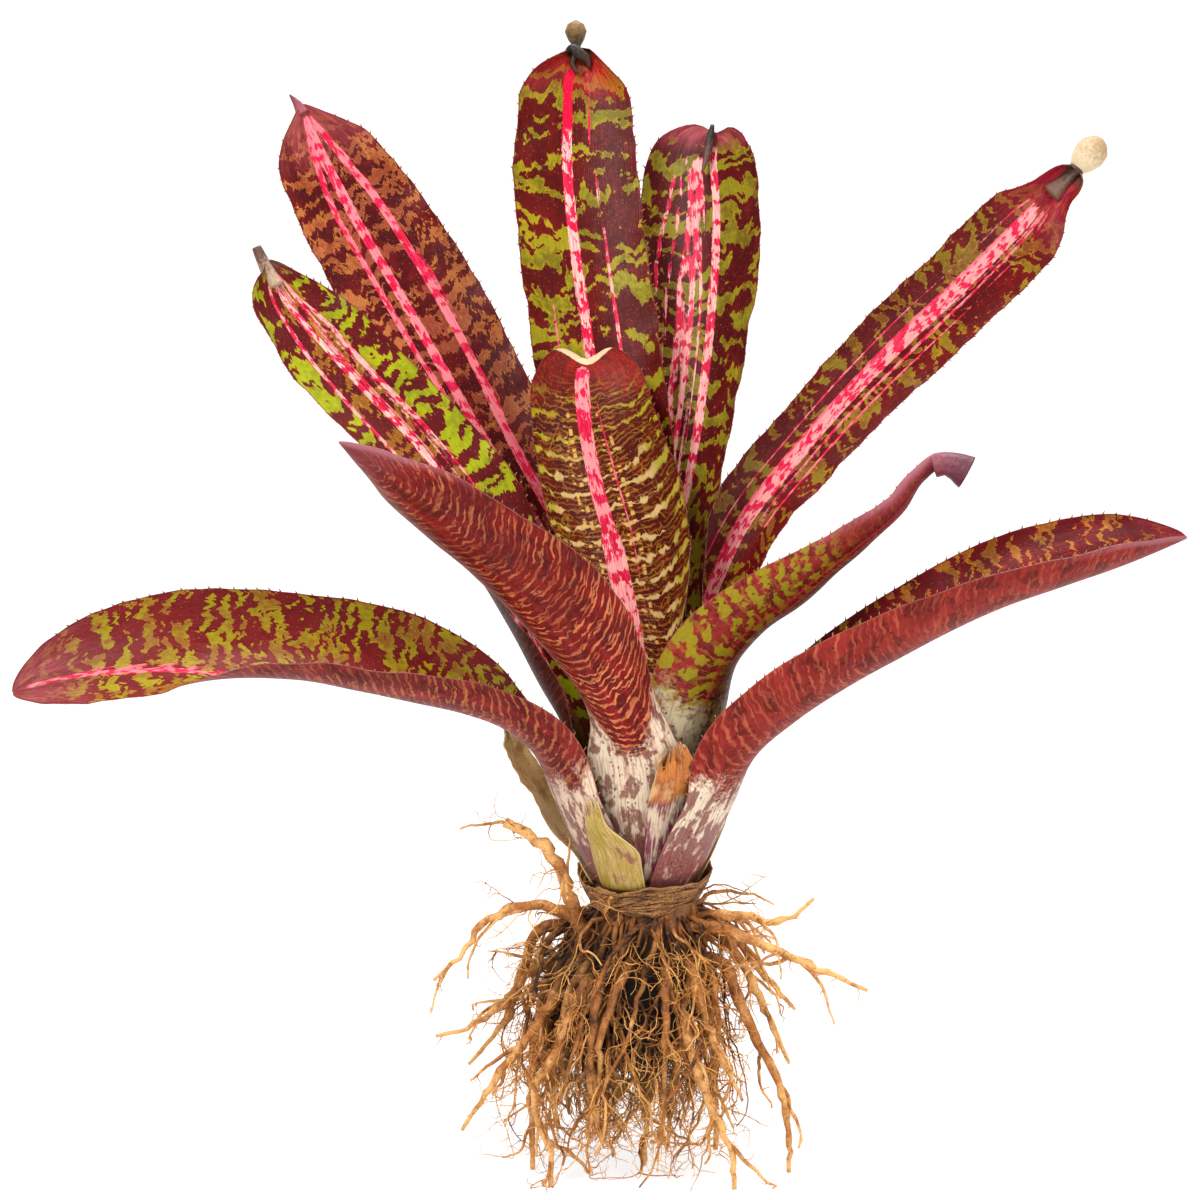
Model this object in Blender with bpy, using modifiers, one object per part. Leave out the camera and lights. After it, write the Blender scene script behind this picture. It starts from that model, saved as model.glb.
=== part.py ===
"""A bare-root neoregelia bromeliad, standing on its stiff roots.

Ten leaves show from the front and two more close the rosette behind. Their rolled bases nest round a
short stem, with a cut leaf stub, dry husks and a brown collar outside, and a ball of roots below.

Metres, with +Z up. The origin is on the surface that the plant stands on, under the stem, at the end of
the middle root. The front is -Y.
"""
import math
import random

import bmesh
import bpy
import numpy as np
from mathutils import Vector, noise

MM = 0.001

# The stem and the nest of leaf bases round it, in millimetres
STEM_TOP = 101.0
STEM_RADIUS = 17.9
CROWN_RISE = 0.8
FIRST_BASE_RADIUS = 3.0
BASE_PITCH = 1.65
SEAT_GAP = 0.35
BULGE_PER_LAYER = 0.35
BULGE_HEIGHT = 11.0
NEST_SHARES = (0.0, 0.12, 0.3, 0.6, 1.0)

# The blades, in millimetres
LEAF_THICKNESS = 0.9
FACETS_ACROSS = 8
FACETS_ACROSS_SMALL = 4
ROW_SPACING = 18.0
UNROLL_LENGTH = 30.0
SPINE_LENGTH = 1.4
SPINE_FOOT = 0.16
SPINE_LEAN = 0.06

# The collar of dry fibre, in millimetres: a ring that opens into a cone and sits higher on the right
COLLAR_SIDES = 24
COLLAR_RADIUS = 19.0
COLLAR_BOTTOM = 93.5
COLLAR_BEND = 97.0
COLLAR_TOP = 105.5
COLLAR_OPENING = 0.45
COLLAR_TILT = 3.0
COLLAR_RAGGEDNESS = 1.0

# The root ball, in millimetres
BALL_CENTRE = (-8.0, 0.0, 60.0)
BALL_RADII = (26.0, 26.0, 24.0)
BALL_ROOTS = 16
BALL_ROOT_RADIUS = 2.0
MAIN_ROOT_RADIUS = 2.4
FINE_ROOT_RADIUS = 0.9
FINE_ROOTS = 32
FINE_ROOT_LOWEST = 2.5
FINE_ROOT_HIGHEST = 86.0
SEED = 41

# Each leaf: the layer its base has in the nest, the azimuth of its midline, the half-angle that it wraps at
# the stem and where the blade leaves the nest, the height of that place, the cone's slope there, the length
# of the rounded tip, and the blade's midrib, as (x, y, z, half width, cup half-angle, facing azimuth, roll)
# in millimetres and degrees.
LEAVES = {
    "leaf_heart": dict(
        layer=0, azimuth=92, wrap=(118, 118), leaves_at=186, slope=0.12, tip=26,
        midrib=[(-4, 16, 201, 27, 84, 92, 0), (-8, 20, 222, 28, 60, 93, 0),
                (-14.5, 25, 246, 27, 50, 94, 0), (-19.5, 30, 267, 23.5, 42, 94, 0),
                (-22, 39, 291, 23, 36, 94, 0)]),
    "leaf_centre_back": dict(
        layer=1, azimuth=100, wrap=(88, 70), leaves_at=188, slope=0.15, tip=3,
        midrib=[(-6, 27, 212, 21.5, 51, 99, 0), (-12.5, 36, 252, 24, 42, 98, 0),
                (-18.5, 48, 291, 24.5, 36, 97, 0), (-23, 61, 326, 24, 32, 96, 0),
                (-25.5, 76, 362, 22.5, 33, 95, 0), (-24.5, 84, 382, 18.5, 42, 95, 0),
                (-23.5, 88, 392.5, 9, 80, 95, 0), (-24, 92, 400, 7.5, 140, 95, 0),
                (-24, 94, 404, 6.5, 140, 95, 0)]),
    "leaf_back_right": dict(
        layer=2, azimuth=77, wrap=(88, 62), leaves_at=184, slope=0.18, tip=9,
        midrib=[(10, 35, 213, 17, 60, 74, 0), (15.5, 46, 241, 18.5, 54, 68, 0),
                (20, 56, 269, 20.5, 46, 64, 0), (24, 69, 304, 24.5, 42, 62, 0),
                (24, 83, 336, 25.5, 38, 62, 0), (23, 92, 355.5, 21.5, 34, 62, 0),
                (25, 97, 368, 13, 34, 62, 0)]),
    "leaf_back_left": dict(
        layer=3, azimuth=120, wrap=(80, 50), leaves_at=180, slope=0.21, tip=12,
        midrib=[(-21, 33, 197, 20, 58, 119, 0), (-34, 42, 218, 22, 50, 117, 0),
                (-49, 48, 241, 24.5, 40, 114, 0), (-65, 58, 267, 26, 34, 112, 0),
                (-82.5, 69, 297, 27.5, 30, 110, 0), (-100.5, 79, 327, 25.5, 28, 108, 0),
                (-113.5, 85, 349, 21.5, 28, 106, 0), (-121, 89, 364, 16, 34, 106, 0),
                (-126, 91, 377, 5, 60, 106, 0)]),
    "leaf_right_upper": dict(
        layer=4, azimuth=58, wrap=(60, 44), leaves_at=174, slope=0.25, tip=4,
        midrib=[(24, 37, 197, 18.5, 58, 57, 8), (36.5, 48, 224, 16, 48, 52, 28),
                (57, 62, 249, 15.5, 40, 48, 44), (76, 74, 269, 16, 36, 46, 52),
                (96, 86, 288, 17, 34, 45, 56), (121, 100, 310, 17, 34, 45, 58),
                (142.5, 112, 330.5, 16, 38, 45, 58), (154, 117, 342.5, 10, 75, 45, 58),
                (164, 120, 351, 14.5, 135, 45, 58), (170, 122, 361, 14, 135, 45, 58)]),
    "leaf_right_mid": dict(
        layer=5, azimuth=316, wrap=(72, 50), leaves_at=166, slope=0.26, tip=4,
        midrib=[(27, -24, 184, 23.5, 62, 321, -8), (36.5, -26, 196, 19.5, 60, 330, -20),
                (48.5, -28, 205.5, 17, 56, 337, -30), (62, -30, 217, 12, 54, 341, -35),
                (75, -31, 227.5, 9, 56, 343, -35), (86.5, -31, 237.5, 6.5, 64, 343, -33),
                (94, -31, 248, 5, 84, 343, -30), (102, -31, 253, 5.5, 112, 343, -28),
                (107, -32, 250, 5, 140, 343, -26)]),
    "leaf_left_upper": dict(
        layer=5, azimuth=165, wrap=(66, 42), leaves_at=156, slope=0.29, tip=4,
        midrib=[(-36, 8, 172, 19, 74, 164, 0), (-44, 6, 189, 18, 70, 159, 0),
                (-52.5, 4, 209.5, 23.5, 58, 147, 0), (-65, 8.5, 232, 26, 46, 130, 0),
                (-83.5, 17, 256.5, 23, 38, 120, 0), (-100.5, 22, 274, 22, 34, 116, 0),
                (-118.5, 27, 294, 19.5, 32, 116, 0), (-129.5, 31, 308.5, 13.5, 38, 120, 0),
                (-133, 34, 317, 7.5, 70, 122, 0), (-138, 36, 326, 5, 130, 122, 0)]),
    "leaf_front_left": dict(
        layer=6, azimuth=262, wrap=(50, 36), leaves_at=148, slope=0.33, tip=12,
        midrib=[(-9, -38.5, 166, 16, 66, 258, 0), (-16, -44, 179, 19.5, 66, 252, 0),
                (-26.5, -51, 194, 24.5, 58, 245, 0), (-42, -60, 211.5, 28.5, 48, 238, 0),
                (-62, -70, 228.7, 28.5, 42, 231, 0), (-80, -79, 245.3, 24, 40, 228, 0),
                (-93.5, -86, 258.5, 11, 48, 226, 0), (-101, -90, 266, 4, 60, 225, 0)]),
    "leaf_rear_mid": dict(
        layer=6, azimuth=126, wrap=(52, 36), leaves_at=150, slope=0.33, tip=30,
        midrib=[(-25, 40, 170, 19, 66, 125, 0), (-33, 60, 194, 20, 52, 121, 0),
                (-41, 86, 212, 20.5, 40, 116, 0), (-49, 114, 221, 20, 36, 112, 0),
                (-57, 142, 221, 16, 36, 110, 0), (-63, 164, 212, 10, 40, 110, 0)]),
    "leaf_rear_low": dict(
        layer=7, azimuth=78, wrap=(48, 34), leaves_at=140, slope=0.37, tip=30,
        midrib=[(9, 42, 156, 19.5, 66, 78, 0), (12, 62, 172, 21, 56, 79, 0),
                (15, 88, 186, 22, 44, 80, 0), (18, 118, 190, 21, 40, 80, 0),
                (21, 148, 184, 16, 40, 80, 0), (24, 172, 171, 9, 40, 80, 0)]),
    "leaf_right_low": dict(
        layer=8, azimuth=332, wrap=(58, 37), leaves_at=137, slope=0.42, tip=20,
        midrib=[(36, -19, 149, 23.5, 74, 333, 0), (52, -24, 164, 29, 80, 338, 2),
                (71.5, -30, 178, 31, 82, 340, 5), (88.5, -34, 188.3, 31, 82, 341, 8),
                (105.5, -38, 198.3, 30.5, 80, 342, 11), (121, -41, 206.3, 29.5, 78, 343, 14),
                (141, -44, 214.2, 27.5, 74, 344, 16), (160.5, -46, 221.3, 23, 70, 345, 16),
                (182.5, -48, 230, 10, 66, 345, 16)]),
    "leaf_left_low": dict(
        layer=8, azimuth=205, wrap=(57, 37), leaves_at=137, slope=0.42, tip=34,
        midrib=[(-38, -17, 151, 21, 72, 203, -2), (-50, -22, 161.5, 25.5, 74, 200, -8),
                (-64, -25, 168, 30, 77, 197, -14), (-81, -29, 173.5, 33, 78, 195, -19),
                (-101, -33, 179.3, 32, 75, 194, -23), (-118, -36, 183.4, 30, 72, 193, -25),
                (-139, -39, 186, 28.5, 68, 192, -30), (-159, -41, 188, 24.5, 53, 192, -43),
                (-179, -42, 185.8, 21, 44, 192, -49), (-200, -42, 181.3, 16.5, 42, 192, -50),
                (-216, -42, 176, 12, 45, 192, -50)]),
    "leaf_stub": dict(
        layer=9, azimuth=246, wrap=(25, 19), leaves_at=118, slope=0.42, tip=0,
        midrib=[(-17, -27.5, 127, 4.6, 18, 239, 0), (-19, -30.5, 137, 2.6, 14, 238, 0)]),
    "dry_sheath_torn": dict(
        layer=7, azimuth=288, wrap=(20, 17), leaves_at=134, slope=0.35, tip=0,
        midrib=[(10.5, -30.3, 143, 8, 22, 289, 0), (10.7, -32, 151, 6, 24, 290, 0),
                (10.5, -33.5, 158, 2.2, 28, 290, 0)]),
    "dry_husk_left": dict(
        layer=9, azimuth=153, wrap=(28, 22), leaves_at=111, slope=0.42, tip=0,
        midrib=[(-30.5, 15, 119, 9, 26, 152, 0), (-36.5, 18, 130, 9, 30, 149, 0),
                (-43.5, 20, 139, 8, 38, 146, 0), (-48, 21, 148, 6, 48, 144, 0),
                (-49.5, 21, 155, 3, 50, 144, 0)]),
    "dry_husk_right": dict(
        layer=9, azimuth=32, wrap=(26, 16), leaves_at=124, slope=0.42, tip=0,
        midrib=[(29.5, 18.5, 133, 7, 20, 33, 0), (33.5, 21, 142, 4, 30, 33, 0)]),
}

# The narrow dry pieces, which have no spines and need few facets
DRY_PIECES = ("leaf_stub", "dry_sheath_torn", "dry_husk_left", "dry_husk_right")

# The main roots that show from the front, each from inside the ball to its end, in millimetres
FRONT_ROOTS = [
    [(8, 0, 78), (19, -10, 89.5), (34, -18, 87), (54, -25, 79), (77, -30, 70)],
    [(10, 4, 78), (21, -4, 91), (34, -7, 92), (45, -9, 90), (53, -10, 93), (59, -12, 99)],
    [(-8, 2, 76), (-20, -5, 84), (-26, -9, 98), (-30, -10, 109), (-38, -11, 120), (-49, -12, 126)],
    [(-10, 0, 78), (-20, -4, 85.5), (-30, -7, 94.5), (-44, -10, 96), (-57, -13, 89), (-65, -15, 79),
     (-74, -18, 71)],
    [(-12, 2, 66), (-35, 4, 72), (-51, 4, 57), (-62, 2, 50), (-74, 0, 47)],
    [(-12, -4, 64), (-30, -16, 64), (-44, -20, 47), (-54, -24, 35), (-64, -24, 19)],
    [(-8, -4, 70), (-19, -20, 72), (-30, -26, 50), (-39, -28, 32), (-33, -28, 12), (-33, -28, 0)],
    [(-6, -6, 66), (-16, -24, 60), (-19, -29, 38), (-15, -25, 14)],
    [(0, 0, 60), (3, -3, 38), (0, 0, 16), (0, 0, 0)],
    [(4, -6, 72), (10, -20, 66), (16, -27, 46), (26, -31, 22), (31, -32, 10), (31, -32, 0)],
    [(10, -2, 76), (24, -5, 76), (38, -7, 50), (49, -9, 26), (51, -9, 12), (51, -9, 0)],
    [(8, 4, 78), (25, 6, 82), (41, 10, 58), (52, 14, 34)],
    [(4, -6, 76), (14, -18, 78), (21, -24, 58), (34, -26, 30)],
]

# Roots that stand on the surface at the back and the left: azimuth in degrees and reach in millimetres
STANDING_ROOTS = [(38, 38), (75, 42), (112, 43), (150, 42), (188, 36)]
REAR_SIDE_ROOTS = [(20, 62, 52), (55, 58, 40), (95, 62, 48), (130, 64, 56), (168, 60, 34)]


def unit(vectors):
    """Scale rows of vectors to length one."""
    return vectors / np.linalg.norm(vectors, axis=-1, keepdims=True)


def smooth_step(value):
    """Rise from 0 to 1 with flat ends."""
    value = np.clip(value, 0.0, 1.0)
    return value * value * (3.0 - 2.0 * value)


def smooth_path(keys, knots, samples):
    """Read a cubic curve through the keys, which lie at the knots, at the sample positions."""
    steps = np.diff(knots)[:, None]
    chords = np.diff(keys, axis=0) / steps
    slopes = np.empty_like(keys)
    slopes[0] = chords[0]
    slopes[-1] = chords[-1]
    slopes[1:-1] = (chords[:-1] * steps[1:] + chords[1:] * steps[:-1]) / (steps[1:] + steps[:-1])
    cell = np.clip(np.searchsorted(knots, samples, side="right") - 1, 0, len(knots) - 2)
    step = steps[cell]
    t = (samples - knots[cell])[:, None] / step
    start, end = keys[cell], keys[cell + 1]
    leave, arrive = slopes[cell] * step, slopes[cell + 1] * step
    return (start * (2 * t**3 - 3 * t**2 + 1) + leave * (t**3 - 2 * t**2 + t)
            + end * (3 * t**2 - 2 * t**3) + arrive * (t**3 - t**2))


def base_radius(layer):
    """Radius of a layer of the nest where it leaves the stem."""
    return FIRST_BASE_RADIUS + BASE_PITCH * layer


def crown_height(radius):
    """Height of the stem's pointed top at a radius."""
    return STEM_TOP + max(STEM_RADIUS - radius, 0.0) * CROWN_RISE


def nest_radius(layer, slope, height):
    """Radius of a layer of the nest at a height: a bulge just over the stem, then a cone."""
    rise = height - crown_height(base_radius(layer))
    bulge = BULGE_PER_LAYER * layer * (1.0 - math.exp(-rise / BULGE_HEIGHT))
    return base_radius(layer) + bulge + slope * rise


def leaf_keys(spec):
    """The leaf's midline from its seat on the stem to its tip, as rows of its seven values."""
    seat = crown_height(base_radius(spec["layer"])) + SEAT_GAP + LEAF_THICKNESS / 2
    azimuth = math.radians(spec["azimuth"])
    low_wrap, high_wrap = (math.radians(wrap) for wrap in spec["wrap"])
    span = spec["leaves_at"] - seat
    keys = []
    for share in NEST_SHARES:
        height = seat + span * share
        radius = nest_radius(spec["layer"], spec["slope"], height)
        wrap = low_wrap + (high_wrap - low_wrap) * share
        keys.append((radius * math.cos(azimuth), radius * math.sin(azimuth), height,
                     radius * wrap, wrap, azimuth, 0.0))
    for x, y, z, half_width, cup, facing, roll in spec["midrib"]:
        keys.append((x, y, z, half_width, math.radians(cup), math.radians(facing), math.radians(roll)))
    return np.array(keys), len(NEST_SHARES) - 1


def row_positions(length, tip):
    """Where the rows lie along the midline: even steps, closer in the rounded tip."""
    body = length - tip
    steps = max(round(body / ROW_SPACING), 2)
    rows = list(np.linspace(0.0, body, steps + 1))
    rows += [length - tip * share for share in (0.66, 0.36, 0.14, 0.02)] if tip else []
    return np.array(rows)


def leaf_sections(spec, facets):
    """Points of the leaf's surface, as rows along it and columns across it, and where the blade starts."""
    keys, leave_key = leaf_keys(spec)
    knots = np.concatenate([[0.0], np.cumsum(np.linalg.norm(np.diff(keys[:, :3], axis=0), axis=1))])
    rows = row_positions(knots[-1], spec["tip"])
    values = smooth_path(keys, knots, rows)
    nudge = 0.5
    ahead = smooth_path(keys, knots, np.minimum(rows + nudge, knots[-1]))
    behind = smooth_path(keys, knots, np.maximum(rows - nudge, 0.0))
    along = unit(ahead[:, :3] - behind[:, :3])
    centre, half_width, cup = values[:, :3], values[:, 3], values[:, 4]
    facing, roll = values[:, 5], values[:, 6]
    if spec["tip"]:
        share = np.clip((knots[-1] - rows) / spec["tip"], 0.0, 1.0)
        half_width = half_width * np.sqrt(1.0 - (1.0 - share) ** 2)
    level = np.stack([-np.sin(facing), np.cos(facing), np.zeros_like(facing)], axis=1)
    across = unit(level - along * np.sum(level * along, axis=1, keepdims=True))
    inward = np.cross(along, across)
    turn_cos, turn_sin = np.cos(roll)[:, None], np.sin(roll)[:, None]
    across, inward = across * turn_cos + inward * turn_sin, inward * turn_cos - across * turn_sin
    flat_inward = np.stack([-np.cos(facing), -np.sin(facing), np.zeros_like(facing)], axis=1)
    unrolled = smooth_step((rows - knots[leave_key]) / UNROLL_LENGTH)[:, None]
    across = unit(level * (1.0 - unrolled) + across * unrolled)
    inward = unit(flat_inward * (1.0 - unrolled) + inward * unrolled)
    columns = np.linspace(-1.0, 1.0, facets + 1)
    bend = half_width / cup
    angles = cup[:, None] * columns[None, :]
    points = (centre[:, None, :]
              + across[:, None, :] * (bend[:, None] * np.sin(angles))[:, :, None]
              + inward[:, None, :] * (bend[:, None] * (1.0 - np.cos(angles)))[:, :, None])
    first_spine_row = int(np.searchsorted(rows, knots[leave_key]))
    return points, first_spine_row


def add_margin_spine(vertices, faces, inner, first, second, outward_from):
    """Split one margin edge and raise a spine on it, with the cells' triangles fanned to its foot."""
    a, b = Vector(vertices[first]), Vector(vertices[second])
    away = (a + b) / 2 - Vector(vertices[outward_from])
    edge = b - a
    away = (away - edge * (away.dot(edge) / edge.length_squared)).normalized()
    foot = len(vertices)
    vertices.append(tuple(a.lerp(b, 0.5 - SPINE_FOOT / 2)))
    vertices.append(tuple(a.lerp(b, 0.5 + SPINE_FOOT / 2)))
    vertices.append(tuple(a.lerp(b, 0.5 + SPINE_LEAN) + away * SPINE_LENGTH))
    faces += [(inner, first, foot), (inner, foot, foot + 1), (inner, foot + 1, second),
              (foot + 1, foot, foot + 2)]


def leaf_surface(spec, spined):
    """Vertices in millimetres and triangles of one leaf's open surface."""
    points, first_spine_row = leaf_sections(spec, FACETS_ACROSS if spined else FACETS_ACROSS_SMALL)
    row_count, column_count = points.shape[:2]
    vertices = [tuple(point) for row in points for point in row]
    faces = []

    def at(row, column):
        return row * column_count + column

    last = column_count - 1
    for row in range(row_count - 1):
        has_spines = spined and first_spine_row < row < row_count - 2
        for column in range(last):
            low_left, low_right = at(row, column), at(row, column + 1)
            high_left, high_right = at(row + 1, column), at(row + 1, column + 1)
            if column == 0 and has_spines:
                faces.append((low_right, high_right, high_left))
                add_margin_spine(vertices, faces, low_right, high_left, low_left, low_right)
                continue
            if column == last - 1 and has_spines:
                faces.append((low_left, high_right, high_left))
                add_margin_spine(vertices, faces, low_left, low_right, high_right, low_left)
                continue
            faces += [(low_left, low_right, high_right), (low_left, high_right, high_left)]
    return vertices, faces


def principled(name, colour, roughness):
    """A plain surface of one colour."""
    material = bpy.data.materials.new(name)
    material.use_nodes = True
    shader = material.node_tree.nodes["Principled BSDF"]
    shader.inputs["Base Color"].default_value = (*colour, 1.0)
    shader.inputs["Roughness"].default_value = roughness
    shader.inputs["Metallic"].default_value = 0.0
    return material


def add_object(name, mesh, material, collection):
    """Put a mesh into the scene as a named object."""
    obj = bpy.data.objects.new(name, mesh)
    collection.objects.link(obj)
    mesh.materials.append(material)
    mesh.shade_smooth()
    return obj


def make_leaf(name, spec, material, collection):
    """One leaf: a rolled base that opens into a channelled blade with small spines on its margins."""
    vertices, faces = leaf_surface(spec, name not in DRY_PIECES)
    mesh = bpy.data.meshes.new(name)
    mesh.from_pydata([tuple(c * MM for c in vertex) for vertex in vertices], [], faces)
    leaf = add_object(name, mesh, material, collection)
    shell = leaf.modifiers.new("Thickness", "SOLIDIFY")
    shell.thickness = LEAF_THICKNESS * MM
    shell.offset = 0.0
    return leaf


def make_collar(material, collection):
    """The band of brown fibre, old leaf bases worn to strips, round the top of the stem."""
    bm = bmesh.new()
    rings = []
    for level in (COLLAR_BOTTOM, COLLAR_BEND, COLLAR_TOP):
        ring = []
        for side in range(COLLAR_SIDES):
            angle = math.tau * side / COLLAR_SIDES
            wave = math.sin(5 * angle + 0.7) + 0.6 * math.sin(9 * angle + 2.0)
            ragged = 0.0 if level == COLLAR_BEND else wave * COLLAR_RAGGEDNESS
            height = level + COLLAR_TILT * math.cos(angle) + ragged
            radius = COLLAR_RADIUS + COLLAR_OPENING * max(height - COLLAR_BEND, 0.0)
            ring.append(bm.verts.new((radius * math.cos(angle) * MM, radius * math.sin(angle) * MM,
                                      height * MM)))
        rings.append(ring)
    for low, high in zip(rings, rings[1:]):
        for side in range(COLLAR_SIDES):
            after = (side + 1) % COLLAR_SIDES
            bm.faces.new((low[side], low[after], high[after]))
            bm.faces.new((low[side], high[after], high[side]))
    mesh = bpy.data.meshes.new("collar_husk")
    bm.to_mesh(mesh)
    bm.free()
    collar = add_object("collar_husk", mesh, material, collection)
    shell = collar.modifiers.new("Thickness", "SOLIDIFY")
    shell.thickness = LEAF_THICKNESS * MM
    shell.offset = 0.0
    return collar


def turned_mesh(name, profile, sides):
    """A closed solid turned round the Z axis from (radius, height) pairs, bottom to top, in millimetres."""
    bm = bmesh.new()
    rings = []
    for radius, height in profile:
        rings.append([bm.verts.new((radius * math.cos(math.tau * side / sides) * MM,
                                    radius * math.sin(math.tau * side / sides) * MM, height * MM))
                      for side in range(sides)])
    for low, high in zip(rings, rings[1:]):
        for side in range(sides):
            after = (side + 1) % sides
            bm.faces.new((low[side], low[after], high[after], high[side]))
    bm.faces.new(list(reversed(rings[0])))
    bm.faces.new(rings[-1])
    mesh = bpy.data.meshes.new(name)
    bm.to_mesh(mesh)
    bm.free()
    return mesh


def root_tube(name, points, radius, rounder, collection):
    """A tapering root along points in millimetres, as a closed mesh object."""
    curve = bpy.data.curves.new(name, "CURVE")
    curve.dimensions = "3D"
    curve.bevel_depth = radius * MM
    curve.bevel_resolution = 1 if rounder else 0
    curve.use_fill_caps = True
    spline = curve.splines.new("POLY")
    spline.points.add(len(points) - 1)
    for index, (point, position) in enumerate(zip(spline.points, points)):
        point.co = (position[0] * MM, position[1] * MM, position[2] * MM, 1.0)
        point.radius = 1.0 - 0.35 * index / (len(points) - 1)
    tube = bpy.data.objects.new(name, curve)
    collection.objects.link(tube)
    bpy.context.view_layer.update()
    evaluated = tube.evaluated_get(bpy.context.evaluated_depsgraph_get())
    mesh = bpy.data.meshes.new_from_object(evaluated)
    bm = bmesh.new()
    bm.from_mesh(mesh)
    bmesh.ops.remove_doubles(bm, verts=bm.verts, dist=0.00001)
    bm.to_mesh(mesh)
    bm.free()
    solid = bpy.data.objects.new(name, mesh)
    solid.matrix_world = tube.matrix_world
    bpy.data.objects.remove(tube)
    collection.objects.link(solid)
    return solid


def root_line(keys, pieces):
    """Points of a smooth root through its keys, evenly spaced. A root that stands on the surface has its
    last two keys one above the other, and the stretch between them stays straight, so its end is level."""
    keys = np.array(keys, dtype=float)
    stands = keys[-1][2] == 0.0
    curved = keys[:-1] if stands else keys
    knots = np.concatenate([[0.0], np.cumsum(np.linalg.norm(np.diff(curved, axis=0), axis=1))])
    line = smooth_path(curved, knots, np.linspace(0.0, knots[-1], pieces + 1))
    return np.vstack([line, keys[-1]]) if stands else line


def standing_root(azimuth, reach):
    """A main root that leaves the ball sideways, bends down and stands on the surface."""
    angle = math.radians(azimuth)
    outward = np.array([math.cos(angle), math.sin(angle), 0.0])
    centre = np.array([BALL_CENTRE[0] * 0.5, 0.0, 0.0])
    heights_and_reaches = ((78, 0.25), (70, 0.72), (46, 0.95), (20, 1.0), (10, 1.0), (0, 1.0))
    return [centre + outward * reach * share + np.array([0.0, 0.0, height])
            for height, share in heights_and_reaches]


def side_root(azimuth, reach, height):
    """A main root that runs out sideways and droops without touching the surface."""
    angle = math.radians(azimuth)
    outward = np.array([math.cos(angle), math.sin(angle), 0.0])
    centre = np.array([BALL_CENTRE[0] * 0.5, 0.0, 0.0])
    heights_and_reaches = ((82, 0.15), (86, 0.5), (height + 14, 0.8), (height, 1.0))
    return [centre + outward * reach * share + np.array([0.0, 0.0, level])
            for level, share in heights_and_reaches]


def ball_root(draw, index):
    """A root that runs down over the ball's side, close to it, and turns out at its end."""
    azimuth = math.tau * (index + draw.uniform(-0.25, 0.25)) / BALL_ROOTS
    sway = draw.uniform(-0.35, 0.35)
    spread = draw.uniform(0.95, 1.22)
    end = draw.uniform(9.0, 30.0)
    points = []
    for share, height, reach in ((0.0, 84.0, 11.0), (0.2, 76.0, 25.0), (0.45, 60.0, 30.0),
                                 (0.7, 42.0, 29.0), (1.0, end, 25.0)):
        angle = azimuth + sway * share
        reach = reach * (1.0 + (spread - 1.0) * min(share * 2.0, 1.0))
        points.append(np.array([BALL_CENTRE[0] * min(share * 2.0, 1.0) + reach * math.cos(angle),
                                reach * math.sin(angle), height]))
    return points


def fine_root(draw, index):
    """A thin root that leaves the ball at an evenly spread place and wanders out and down."""
    turn = index * 2.399963
    tilt = math.acos(1.0 - 1.55 * (index + 0.5) / FINE_ROOTS)
    heading = np.array([math.sin(tilt) * math.cos(turn), math.sin(tilt) * math.sin(turn),
                        -math.cos(tilt) + 0.25])
    centre = np.array(BALL_CENTRE)
    start = centre + heading * np.array(BALL_RADII) * 0.8
    length = draw.uniform(26.0, 48.0)
    points = [start]
    direction = unit(heading)
    for _ in range(5):
        drift = np.array([draw.gauss(0, 0.35), draw.gauss(0, 0.35), draw.gauss(-0.12, 0.25)])
        direction = unit(direction + drift)
        step = points[-1] + direction * length / 5
        step[2] = min(max(step[2], FINE_ROOT_LOWEST), FINE_ROOT_HIGHEST)
        points.append(step)
    return points


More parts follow.
